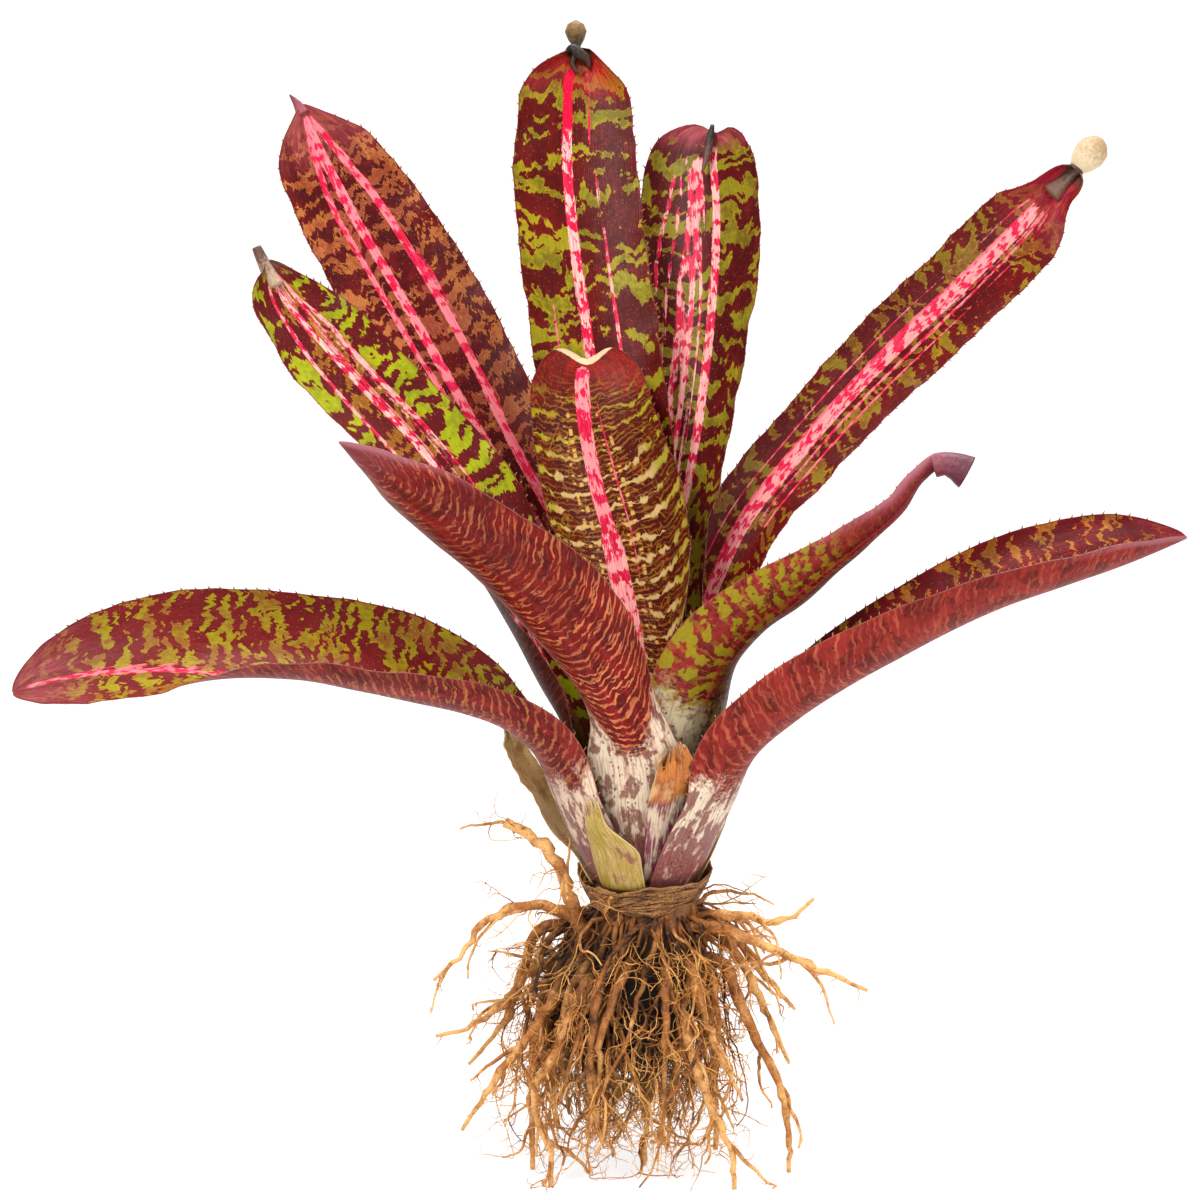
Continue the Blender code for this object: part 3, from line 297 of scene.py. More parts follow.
# How each leaf is marked. Stripes are (width, paleness, [(distance from the base, share across), ...]).
# "amount" makes the maroon blotches wider, "margin" adds to it at the margins, "net" cuts the blotches with
# thin lines and "finer" makes them smaller. "red_from" is where a lime lower part gives way to the ground
# colours, "hot_from" where the stripes turn deep pink and "dry_from" where the dead tip starts. "dotted"
# lines are (share across, start, end). "end" is where the blade ends, "round" the length of its rounded
# tip, "notch" its dent, "lip_from" the start of the pale lip and "under" the colours of the lower face.
# A leaf's dark base value paints shade over its lower part.
LOOKS = {
    "leaf_heart": dict(
        seed=3, ground=[(96, 26, 8), (72, 14, 6)], blotch=[(66, 12, 6), (90, 24, 10)], amount=0.0,
        margin=0.0, net=0.0, bars=1.0, tip=(126, 14, 12), tip_from=158, tip_to=174,
        notch=(6.5, -0.04, 0.26), lip_from=180.4, stripes=[
            (7.4, 0.75, [(20, 0.14), (74, 0.15), (89, 0.11), (112, 0.14)]),
            (5.2, 0.5, [(112, 0.14), (130, 0.15), (151, 0.12), (176, 0.04)]),
            (0.5, 0.2, [(60, -0.16), (120, -0.14), (160, -0.12)])],
        dotted=[(0.34, 40, 168), (0.43, 40, 160), (-0.10, 40, 166), (-0.21, 40, 160)], dry_from=NEVER),
    "leaf_centre_back": dict(
        seed=5, ground=[(146, 134, 18), (112, 98, 14)], blotch=[(104, 16, 10), (76, 8, 5)], amount=0.055,
        margin=0.035, net=0.0, tip=(150, 24, 22), tip_from=274, tip_to=292, hot_from=264, end=298, round=9,
        stripes=[
            (3.6, 0.9, [(90, 0.08), (194, 0.07), (241, 0.10), (271, 0.10), (288, 0.16)]),
            (1.1, 0.7, [(110, -0.42), (193, -0.40), (225, -0.37), (249, -0.32), (284, -0.22)]),
            (0.5, 0.1, [(110, 0.53), (195, 0.53), (222, 0.48), (262, 0.50)])], dry_from=294,
        dry=[(60, 40, 26), (26, 16, 12)]),
    "leaf_back_right": dict(
        seed=8, ground=[(134, 124, 24), (108, 88, 18)], blotch=[(98, 16, 18), (72, 10, 11)], amount=0.03,
        margin=0.03, net=0.0, tip=(150, 58, 70), tip_from=262, tip_to=272, notch=(4.5, -0.1, 0.22),
        stripes=[
            (1.5, 0.9, [(120, 0.95), (195, 0.90), (205, 0.85), (221, 0.78), (236, 0.68), (256, 0.50)]),
            (1.1, 0.7, [(110, 0.82), (206, 0.67), (218, 0.60), (236, 0.48), (262, 0.34)]),
            (1.8, 0.85, [(100, 0.62), (210, 0.47), (230, 0.34), (260, 0.22)]),
            (0.8, 0.5, [(100, 0.52), (210, 0.38), (230, 0.29), (260, 0.18)]),
            (2.2, 0.8, [(90, 0.40), (206, 0.28), (233, 0.20), (260, 0.12)]),
            (1.3, 0.8, [(90, 0.22), (206, 0.14), (229, 0.10), (262, 0.04)]),
            (3.4, 0.9, [(70, -0.06), (130, -0.04), (160, -0.07), (206, -0.06), (244, -0.14),
                        (266, -0.16)])],
        dry_from=NEVER),
    "leaf_back_left": dict(
        seed=13, ground=[(172, 100, 54), (140, 62, 36)], blotch=[(108, 20, 20), (70, 8, 9)], amount=0.06,
        finer=1.5, margin=0.05, net=0.15, painted_base_shade=0.8, tip=(150, 66, 70), tip_from=278, tip_to=312,
        end=309, round=24, middle=[(158, 78, 52), (124, 48, 34)], stripes=[
            (2.9, 0.3, [(75, -0.28), (137, -0.30), (162, -0.34), (194, -0.42), (234, -0.43), (269, -0.40),
                        (303, -0.22)]),
            (1.0, 0.1, [(90, -0.36), (162, -0.40), (194, -0.50), (234, -0.52), (262, -0.48)]),
            (3.6, 0.35, [(80, -0.02), (142, 0.0), (175, 0.02), (227, 0.03), (262, 0.04), (303, -0.02)]),
            (2.3, 0.2, [(150, 0.20), (184, 0.22), (216, 0.27), (265, 0.30), (303, 0.12)])], dry_from=NEVER),
    "leaf_right_upper": dict(
        seed=21, ground=[(130, 106, 20), (118, 66, 20)], blotch=[(108, 13, 11), (80, 7, 7)], amount=0.07,
        margin=0.02, net=0.04, tip=(146, 24, 44), tip_from=276, tip_to=312, end=320, round=9, stripes=[
            (4.6, 0.62, [(70, 0.04), (101, 0.05), (147, 0.0), (194, 0.03), (245, 0.0), (296, 0.03)]),
            (0.7, 0.3, [(80, 0.46), (150, 0.44), (195, 0.46), (246, 0.43), (300, 0.4)]),
            (0.6, 0.1, [(90, 0.24), (150, 0.20), (250, 0.20), (300, 0.18)]),
            (0.9, 0.3, [(130, -0.30), (200, -0.28), (250, -0.26), (300, -0.2)]),
            (0.6, 0.1, [(130, -0.48), (200, -0.46), (250, -0.44), (300, -0.34)])], dry_from=316,
        dry=[(110, 70, 56), (70, 44, 36)]),
    "leaf_right_mid": dict(
        seed=34, ground=[(140, 132, 24), (110, 100, 18)], blotch=[(98, 26, 18), (76, 18, 16)], amount=0.03,
        margin=0.0, net=0.0, tip=(130, 50, 60), tip_from=150, tip_to=178, stripes=[
            (1.3, 0.3, [(50, -0.08), (110, -0.02), (170, 0.05)]),
            (1.0, 0.2, [(50, 0.16), (110, 0.2), (165, 0.25)])],
        dry_from=NEVER, under=dict(base=[(116, 26, 20), (90, 18, 14)], line=(150, 140, 26), lime=1.0,
                                   arcs=0.5, rosy=1.0, sheath_to=60, sheath=(200, 186, 150),
                                   blot=(112, 80, 88), fan=4.0)),
    "leaf_left_upper": dict(
        seed=42, ground=[(156, 164, 16), (132, 136, 16)], blotch=[(104, 22, 22), (84, 14, 16)],
        amount=0.012, margin=0.0, net=0.0, tan_centre=1.0, tip=(104, 30, 38), tip_from=242, tip_to=252,
        end=253, round=12, stripes=[
            (1.4, 0.75, [(60, -0.42), (152, -0.44), (208, -0.42), (219, -0.44), (246, -0.3)]),
            (1.0, 0.9, [(60, -0.30), (150, -0.31), (215, -0.30), (246, -0.2)]),
            (0.7, 0.2, [(60, -0.22), (150, -0.22), (215, -0.2), (246, -0.1)]),
            (2.3, 0.95, [(60, -0.10), (156, -0.10), (214, -0.08), (246, 0.02)]),
            (1.6, 0.7, [(60, 0.40), (164, 0.40), (207, 0.36), (244, 0.26)])], dry_from=249.5,
        dry=[(120, 84, 70), (64, 44, 38)],
        under=dict(base=[(92, 40, 34), (66, 30, 28)], line=(150, 96, 72), lime=0.0, arcs=0.35, rosy=0.0,
                   sheath_to=24, sheath=(160, 128, 120), blot=(92, 52, 58), fan=6.0)),
    "leaf_front_left": dict(
        seed=55, ground=[(150, 146, 20), (122, 104, 20)], blotch=[(98, 22, 20), (80, 16, 16)], amount=0.03,
        margin=0.0, net=0.0, tip=(140, 70, 78), tip_from=196, tip_to=208, stripes=[
            (2.4, 0.4, [(40, 0.0), (120, 0.05), (200, 0.0)]),
            (1.2, 0.3, [(40, 0.4), (120, 0.42), (200, 0.4)])],
        dry_from=NEVER, under=dict(base=[(124, 20, 16), (98, 14, 12)], line=(222, 132, 84), lime=0.0,
                                   arcs=1.0, rosy=0.2, sheath_to=48, vee=20.0, sheath=(230, 208, 180),
                                   blot=(120, 22, 34), fan=14.0)),
    "leaf_rear_mid": dict(
        seed=66, ground=[(158, 152, 16), (126, 118, 14)], blotch=[(98, 22, 18), (76, 14, 12)], amount=0.04,
        margin=0.02, net=0.0, tip=(132, 36, 48), tip_from=178, tip_to=200, stripes=[
            (3.0, 0.6, [(40, -0.04), (120, 0.0), (205, 0.0)]),
            (1.2, 0.4, [(40, 0.42), (120, 0.45), (205, 0.4)]),
            (0.8, 0.2, [(40, -0.40), (120, -0.42), (205, -0.4)])], dry_from=NEVER),
    "leaf_rear_low": dict(
        seed=79, ground=[(148, 134, 18), (132, 94, 22)], blotch=[(104, 22, 18), (80, 12, 14)], amount=0.045,
        margin=0.02, net=0.02, tip=(128, 32, 46), tip_from=176, tip_to=196, stripes=[
            (3.4, 0.4, [(40, 0.05), (120, 0.0), (200, 0.0)]),
            (1.0, 0.6, [(40, -0.45), (120, -0.4), (200, -0.4)]),
            (1.0, 0.2, [(40, 0.40), (120, 0.42), (200, 0.4)])], dry_from=NEVER),
    "leaf_right_low": dict(
        seed=88, ground=[(176, 104, 34), (128, 76, 20)], blotch=[(128, 10, 18), (90, 10, 14)], amount=0.10,
        finer=2.0, margin=-0.03, net=0.05, red_from=95, tip=(116, 28, 42), tip_from=206, tip_to=222,
        stripes=[
            (1.5, 0.1, [(90, 0.34), (110, 0.42), (160, 0.44), (200, 0.3), (218, 0.2)])],
        dry_from=NEVER, under=dict(base=[(136, 38, 28), (104, 22, 18)], line=(206, 112, 78), lime=0.0,
                                   arcs=0.55, rosy=0.5, sheath_to=36, sheath=(230, 210, 184),
                                   blot=(122, 24, 48), fan=8.0)),
    "leaf_left_low": dict(
        seed=97, ground=[(150, 138, 18), (140, 92, 34)], blotch=[(102, 20, 22), (118, 30, 30)],
        amount=0.035, finer=1.8, margin=0.045, net=0.03, tip=(134, 58, 64), tip_from=206, tip_to=236,
        stripes=[
            (2.3, 0.3, [(60, 0.75), (93, 0.72), (130, 0.62), (160, 0.46), (190, 0.24), (222, 0.06),
                        (238, 0.0)]),
            (0.8, 0.1, [(100, 0.58), (150, 0.42), (190, 0.12), (220, -0.04)])],
        dry_from=NEVER, under=dict(base=[(130, 38, 36), (100, 26, 28)], line=(206, 128, 72), lime=0.35,
                                   arcs=0.7, rosy=0.6, sheath_to=38, sheath=(226, 200, 174),
                                   blot=(118, 30, 44), fan=10.0)),
}
PLAIN_UNDER = dict(base=[(134, 36, 30), (104, 26, 24)], line=(206, 140, 100), lime=0.1, arcs=0.6, rosy=0.3,
                   sheath_to=50, sheath=(220, 200, 170), blot=(124, 54, 62), fan=10.0)


def srgb(colour):
    """A colour given in everyday 0 to 255 values, as a shader colour."""
    shares = [value / 255 for value in colour]
    return tuple(s / 12.92 if s <= 0.04045 else ((s + 0.055) / 1.055) ** 2.4 for s in shares) + (1.0,)


class Value:
    """A number or a colour in a material; plus, minus, times and abs() build its math nodes."""

    def __init__(self, surface, socket):
        self.surface, self.socket = surface, socket

    def __add__(self, other):
        return self.surface.calc("ADD", self, other)

    def __radd__(self, other):
        return self.surface.calc("ADD", other, self)

    def __sub__(self, other):
        return self.surface.calc("SUBTRACT", self, other)

    def __rsub__(self, other):
        return self.surface.calc("SUBTRACT", other, self)

    def __mul__(self, other):
        return self.surface.calc("MULTIPLY", self, other)

    def __rmul__(self, other):
        return self.surface.calc("MULTIPLY", other, self)

    def __abs__(self):
        return self.surface.calc("ABSOLUTE", self)


class Surface:
    """Short calls that build one material's nodes."""

    def __init__(self, name, specular=0.5):
        self.material = bpy.data.materials.new(name)
        self.material.use_nodes = True
        self.nodes = self.material.node_tree.nodes
        self.links = self.material.node_tree.links
        self.shader = self.nodes["Principled BSDF"]
        self.shader.inputs["Specular IOR Level"].default_value = specular

    def put(self, socket, value):
        """Link a value to a socket, or set the socket to a plain number."""
        if isinstance(value, Value):
            self.links.new(value.socket, socket)
        else:
            socket.default_value = value

    def make(self, kind, **settings):
        node = self.nodes.new(kind)
        for key, value in settings.items():
            setattr(node, key, value)
        return node

    def result(self, node, output=0):
        return Value(self, node.outputs[output])

    def calc(self, operation, *values):
        node = self.make("ShaderNodeMath", operation=operation)
        for socket, value in zip(node.inputs, values):
            self.put(socket, value)
        return self.result(node)

    def centred(self, value, amount):
        """A value of 0 to 1 as a swing of the amount about zero."""
        return self.calc("MULTIPLY_ADD", value, amount, -amount / 2)

    def ramp(self, value, low, high, out=1.0):
        """Rise smoothly from 0 at low to out at high."""
        node = self.make("ShaderNodeMapRange", interpolation_type="SMOOTHSTEP")
        for socket, setting in (("Value", value), ("From Min", low), ("From Max", high), ("To Min", 0.0),
                                ("To Max", out)):
            self.put(node.inputs[socket], setting)
        return self.result(node, "Result")

    def vector(self, x, y, z=0.0):
        node = self.make("ShaderNodeCombineXYZ")
        for socket, value in zip(node.inputs, (x, y, z)):
            self.put(socket, value)
        return self.result(node)

    def split(self, vector):
        """The three parts of a vector."""
        node = self.make("ShaderNodeSeparateXYZ")
        self.put(node.inputs[0], vector)
        return [self.result(node, part) for part in range(3)]

    def noise(self, vector, scale=1.0, detail=2.0, roughness=0.5):
        node = self.make("ShaderNodeTexNoise", noise_dimensions="3D")
        for socket, setting in (("Vector", vector), ("Scale", scale), ("Detail", detail),
                                ("Roughness", roughness)):
            self.put(node.inputs[socket], setting)
        return self.result(node)

    def random(self, value):
        node = self.make("ShaderNodeTexWhiteNoise", noise_dimensions="1D")
        self.put(node.inputs["W"], value)
        return self.result(node, "Value")

    def cells(self, vector, scale=1.0):
        """Distance to the nearest of scattered points, and a random value for each point."""
        node = self.make("ShaderNodeTexVoronoi", voronoi_dimensions="2D", feature="F1")
        self.put(node.inputs["Vector"], vector)
        node.inputs["Scale"].default_value = scale
        parts = self.make("ShaderNodeSeparateColor")
        self.links.new(node.outputs["Color"], parts.inputs[0])
        return self.result(node, "Distance"), self.result(parts)

    def web(self, vector):
        """Distance to the nearest of the lines between scattered cells."""
        node = self.make("ShaderNodeTexVoronoi", voronoi_dimensions="2D", feature="DISTANCE_TO_EDGE")
        self.put(node.inputs["Vector"], vector)
        node.inputs["Scale"].default_value = 1.0
        return self.result(node, "Distance")

    def arcs(self, way, across, pitch, width, seed):
        """Thin broken lines across the leaf at an even pitch; the width is a share of the pitch."""
        sway = self.noise(self.vector(across * 0.045, way * 0.05, seed), detail=1.0)
        fine = self.noise(self.vector(across * 0.30, way * 0.10, seed + 5.0), detail=1.0)
        phase = self.calc("FRACT", way * (1.0 / pitch) + self.centred(sway, 1.6) + self.centred(fine, 0.55))
        gaps = self.noise(self.vector(across * 0.20, way * (0.9 / pitch), seed + 2.0), detail=2.0)
        reach = self.ramp(gaps, 0.40, 0.60, width) + 0.01
        return self.ramp(abs(phase - 0.5), reach, reach * 0.35)

    def mix(self, share, a, b, blend="MIX"):
        """Mix two colours, each from other nodes or given in everyday 0 to 255 values."""
        node = self.make("ShaderNodeMix", data_type="RGBA", blend_type=blend)
        self.put(node.inputs[0], share)
        for socket, colour in ((node.inputs[6], a), (node.inputs[7], b)):
            self.put(socket, colour if isinstance(colour, Value) else srgb(colour))
        return self.result(node, 2)

    def attribute(self, name):
        return self.result(self.make("ShaderNodeAttribute", attribute_name=name), "Fac")

    def leaf_place(self):
        """Distance across in vein lines and distance along from the base, in millimetres."""
        return self.split(self.result(self.make("ShaderNodeUVMap", uv_map=UV_NAME)))[:2]

    def point(self):
        """The surface point in millimetres, fixed to the piece."""
        node = self.make("ShaderNodeVectorMath", operation="SCALE")
        self.put(node.inputs[0], self.result(self.make("ShaderNodeTexCoord"), "Object"))
        node.inputs["Scale"].default_value = 1000.0
        return self.result(node)

    def finish(self, colour, roughness, height, strength, distance):
        """Connect the colour, the roughness and the relief."""
        bump = self.make("ShaderNodeBump")
        bump.inputs["Strength"].default_value = strength
        bump.inputs["Distance"].default_value = distance * MM
        for socket, value in ((self.shader.inputs["Base Color"], colour), (bump.inputs["Height"], height),
                              (self.shader.inputs["Roughness"], roughness),
                              (self.shader.inputs["Normal"], self.result(bump))):
            self.put(socket, value)
        return self.material


def upper_face(name, look, half):
    """The patterned upper face: broken maroon bands, stripes, tip and dry end."""
    m = Surface(name, specular=0.11)
    across, along = m.leaf_place()
    seed = look["seed"]
    finer = look.get("finer", 1.3)
    share = across * (1.0 / half)
    squared = share * share
    vein = m.random(m.calc("FLOOR", across * 0.5) + seed * 17.3)
    fine_vein = m.random(m.calc("FLOOR", across * 1.6) + seed * 31.7)
    drift = m.noise(m.vector(across * 0.05, along * 0.045, seed), detail=1.0)
    wavy = m.noise(m.vector(across * 0.22, along * 0.02, seed + 6.0), detail=1.0)
    shifted = (along + m.centred(vein, 1.8) + m.centred(fine_vein, 0.9) + m.centred(drift, 20.0 / finer)
               + m.centred(wavy, 9.0 / finer))
    bands = m.noise(m.vector(across * (0.04 * finer), shifted * (0.165 * finer), seed * 3.1), detail=0.0)
    lumps = m.noise(m.vector(across * (0.15 * finer), shifted * (0.26 * finer), seed * 1.7), detail=0.0)
    grain = m.noise(m.vector(across * 0.5, along * 0.5, seed + 9.0), detail=2.5)
    dots, dot_kind = m.cells(m.vector(across * 0.34, along * 0.34, 0.0))
    dot = m.ramp(dots, 0.34, 0.16) * m.ramp(dot_kind, 0.45, 0.55)
    sign = m.ramp(dot_kind, 0.78, 0.8, 2.0)
    level = (m.centred(bands, 1.0) + m.centred(lumps, 0.7) + m.centred(grain, 0.08) + squared * squared
             * look["margin"] + look["amount"] + dot * (0.13 - sign * 0.13))
    # Painted shade towards the base: more maroon blotch low on the leaf.
    if look.get("painted_base_shade"):
        level = level + m.ramp(along, 240.0, 110.0, 0.1)
    if look.get("red_from"):
        level = level + m.ramp(along, look["red_from"] - 30.0, look["red_from"] + 40.0, 0.08) - 0.06
    if look["net"]:
        web = m.web(m.vector(across * 0.28 + m.centred(wavy, 0.3), shifted * 0.26))
        level = level - m.ramp(web, 0.16, 0.0, look["net"])
    blotched = m.ramp(level, -0.016, 0.016)

    slow = m.noise(m.vector(across * 0.09, along * 0.05, seed + 4.0), detail=2.0)
    ground = m.mix(m.ramp(slow + m.centred(grain, 0.5), 0.38, 0.62), *look["ground"])
    if look.get("middle"):
        inner = m.ramp(abs(share + 0.12) + m.centred(drift, 0.3), 0.62, 0.36)
        ground = m.mix(inner, ground, m.mix(grain, *look["middle"]))
    if look.get("tan_centre"):
        inner = m.ramp(abs(share + 0.04), 0.52, 0.36)
        ground = m.mix(inner, ground, m.mix(grain, (158, 104, 30), (112, 56, 16)))
    if look.get("red_from"):
        ground = m.mix(m.ramp(along, look["red_from"] - 40.0, look["red_from"] + 30.0),
                       m.mix(grain, (150, 134, 20), (120, 96, 14)), ground)
    blotch = m.mix(m.ramp(slow + m.centred(grain, 0.8), 0.35, 0.65), *look["blotch"])
    blotch = m.mix(m.ramp(level, 0.06, 0.26, 0.5), blotch, look["blotch"][1])
    glow = m.ramp(abs(level + 0.035), 0.03, 0.0, 0.45)
    ground = m.mix(glow, ground, (196, 150, 20))
    colour = m.mix(blotched, ground, blotch)

    if look.get("bars"):
        rise = abs(share - 0.06)
        bar_way = (along + rise * rise * -7.0 + m.centred(drift, 4.0) + m.centred(wavy, 1.5)
                   + m.centred(fine_vein, 0.4))
        lower = m.ramp(along, 172.0, 118.0)
        fine_bar = m.arcs(bar_way, across, 1.9, 0.30, seed)
        rust = m.mix(grain, (150, 72, 26), (190, 128, 56))
        colour = m.mix(fine_bar * (0.4 + m.ramp(rise, 0.7, 0.15, 0.3)), colour, rust)
        broad = m.ramp(rise, 0.12, 0.95, 0.2) + lower * 0.13 + 0.05
        wide = m.arcs(bar_way, across, 6.6, broad, seed + 3.0)
        gold = m.mix(m.ramp(lower + m.centred(grain, 0.8), 0.3, 0.9),
                     m.mix(grain, (150, 132, 20), (176, 150, 40)),
                     m.mix(slow, (196, 160, 84), (226, 196, 140)))
        gold = m.mix(m.ramp(rise, 0.62, 0.82, 0.8), gold, (168, 158, 26))
        colour = m.mix(wide * m.ramp(along, 180.0, 156.0, 0.92), colour, gold)
        for place, start, end in look["dotted"]:
            near = m.ramp(abs(share - (m.centred(wavy, 0.05) + place)), 0.03, 0.012)
            beads = m.ramp(m.noise(m.vector(place * 40.0, along * 0.55, 1.0), detail=1.0), 0.52, 0.6)
            reach = m.ramp(along, start, start + 15.0) * m.ramp(along, end, end - 15.0)
            colour = m.mix(near * beads * (reach * 0.85), colour, (226, 176, 90))

    tip_shift = along + m.centred(drift, 14.0) + m.centred(fine_vein, 3.0)
    toward_tip = m.ramp(tip_shift, look["tip_from"], look["tip_to"])
    tip_lines = m.noise(m.vector(across * 1.6, along * 0.12, seed), detail=2.0)
    tip_colour = m.mix(m.ramp(tip_lines, 0.42, 0.68), look["tip"],
                       tuple(min(c * 1.25 + 10, 255) for c in look["tip"]))
    tip_colour = m.mix(m.ramp(slow, 0.45, 0.6, 0.5), tip_colour, look["blotch"][0])
    colour = m.mix(toward_tip * 0.85, colour, tip_colour)

    edge = m.attribute("stripe") + m.centred(fine_vein, 0.5) + m.centred(grain, 0.7)
    inside = m.ramp(edge, 0.14, -0.14)
    ragged = m.random(m.calc("FLOOR", across * 2.4) + 3.0)
    small = m.noise(m.vector(across * 0.5, (along + m.centred(ragged, 2.0)) * 0.3, seed), detail=1.0)
    cross_level = m.centred(bands, 1.0) * 0.7 + m.centred(small, 0.9) + m.centred(ragged, 0.08) - 0.01
    crossing = m.ramp(cross_level, -0.03, 0.03)
    streak = m.noise(m.vector(across * 2.6, along * 0.16, seed), detail=1.5)
    hot = m.mix(m.ramp(streak, 0.46, 0.66), (206, 10, 56), (232, 60, 100))
    pale = m.mix(m.ramp(streak, 0.4, 0.64), (248, 196, 180), (238, 140, 146))
    fair = m.mix(m.ramp(streak, 0.42, 0.62), (228, 60, 98), (240, 124, 140))
    stripe = m.mix(crossing, m.mix(m.attribute("pale"), fair, pale), hot)
    if look.get("hot_from"):
        stripe = m.mix(m.ramp(along, look["hot_from"], look["hot_from"] + 3.0), stripe, (214, 10, 56))
    # Painted shade towards the base: the stripes turn deep crimson low on the leaf.
    if look.get("painted_base_shade"):
        stripe = m.mix(m.ramp(along, 170.0, 90.0, 0.6), stripe, (150, 6, 34))
    colour = m.mix(inside, colour, stripe)

    lines = m.noise(m.vector(across * 2.3, along * 0.03, seed + 2.0), detail=1.0)
    colour = m.mix(m.ramp(lines, 0.5, 0.72, 0.28), colour, m.mix(1.0, colour, (150, 110, 100), "MULTIPLY"))
    # Painted shade: the whole colour darkens towards the base, where the leaf sits in the rosette.
    if look.get("painted_base_shade"):
        colour = m.mix(m.ramp(along, 210.0, 80.0, look["painted_base_shade"]), colour,
                       m.mix(1.0, colour, (150, 100, 90), "MULTIPLY"))
    rim = m.attribute("rim")
    colour = m.mix(m.ramp(rim, 0.7, 0.15, 0.7), colour, (104, 18, 24))
    # Painted shade: the upper face turns dark brown towards its base, where the leaves sit nested inside one
    # another.
    nest_shade = m.ramp(along + m.centred(grain, 12.0), 72.0, 32.0)
    colour = m.mix(nest_shade * 0.85, colour, m.mix(grain, (92, 60, 30), (48, 18, 14)))
    scurf, scurf_kind = m.cells(m.vector(across, along * 0.8), scale=0.8)
    colour = m.mix(m.ramp(scurf, 0.14, 0.05, 0.3) * m.ramp(scurf_kind, 0.82, 0.86), colour, (226, 190, 160))
    if look.get("notch") and look.get("bars"):
        lip = m.ramp(along + m.centred(grain, 1.0), look["lip_from"], look["lip_from"] + 0.5)
        colour = m.mix(lip, colour, m.mix(grain, (246, 226, 190), (216, 168, 120)))
    dry = m.ramp(along + m.centred(grain, 5.0), look["dry_from"] - 1.5, look["dry_from"] + 1.5)
    husk = m.mix(m.ramp(m.noise(m.vector(across * 0.35, along * 0.16, seed), detail=3.0), 0.35, 0.65),
                 *look.get("dry", [(196, 172, 132), (96, 76, 56)]))
    colour = m.mix(dry, colour, husk)

    gloss = 0.36 + m.centred(grain, 0.14) + dry * 0.4 + slow * 0.1
    height = lines * 0.5 + slow * 1.6 + grain * 0.4 + blotched * 0.12 + m.ramp(scurf, 0.3, 0.0) * 0.12
    return m.finish(colour, gloss, height, 0.5, 0.35)


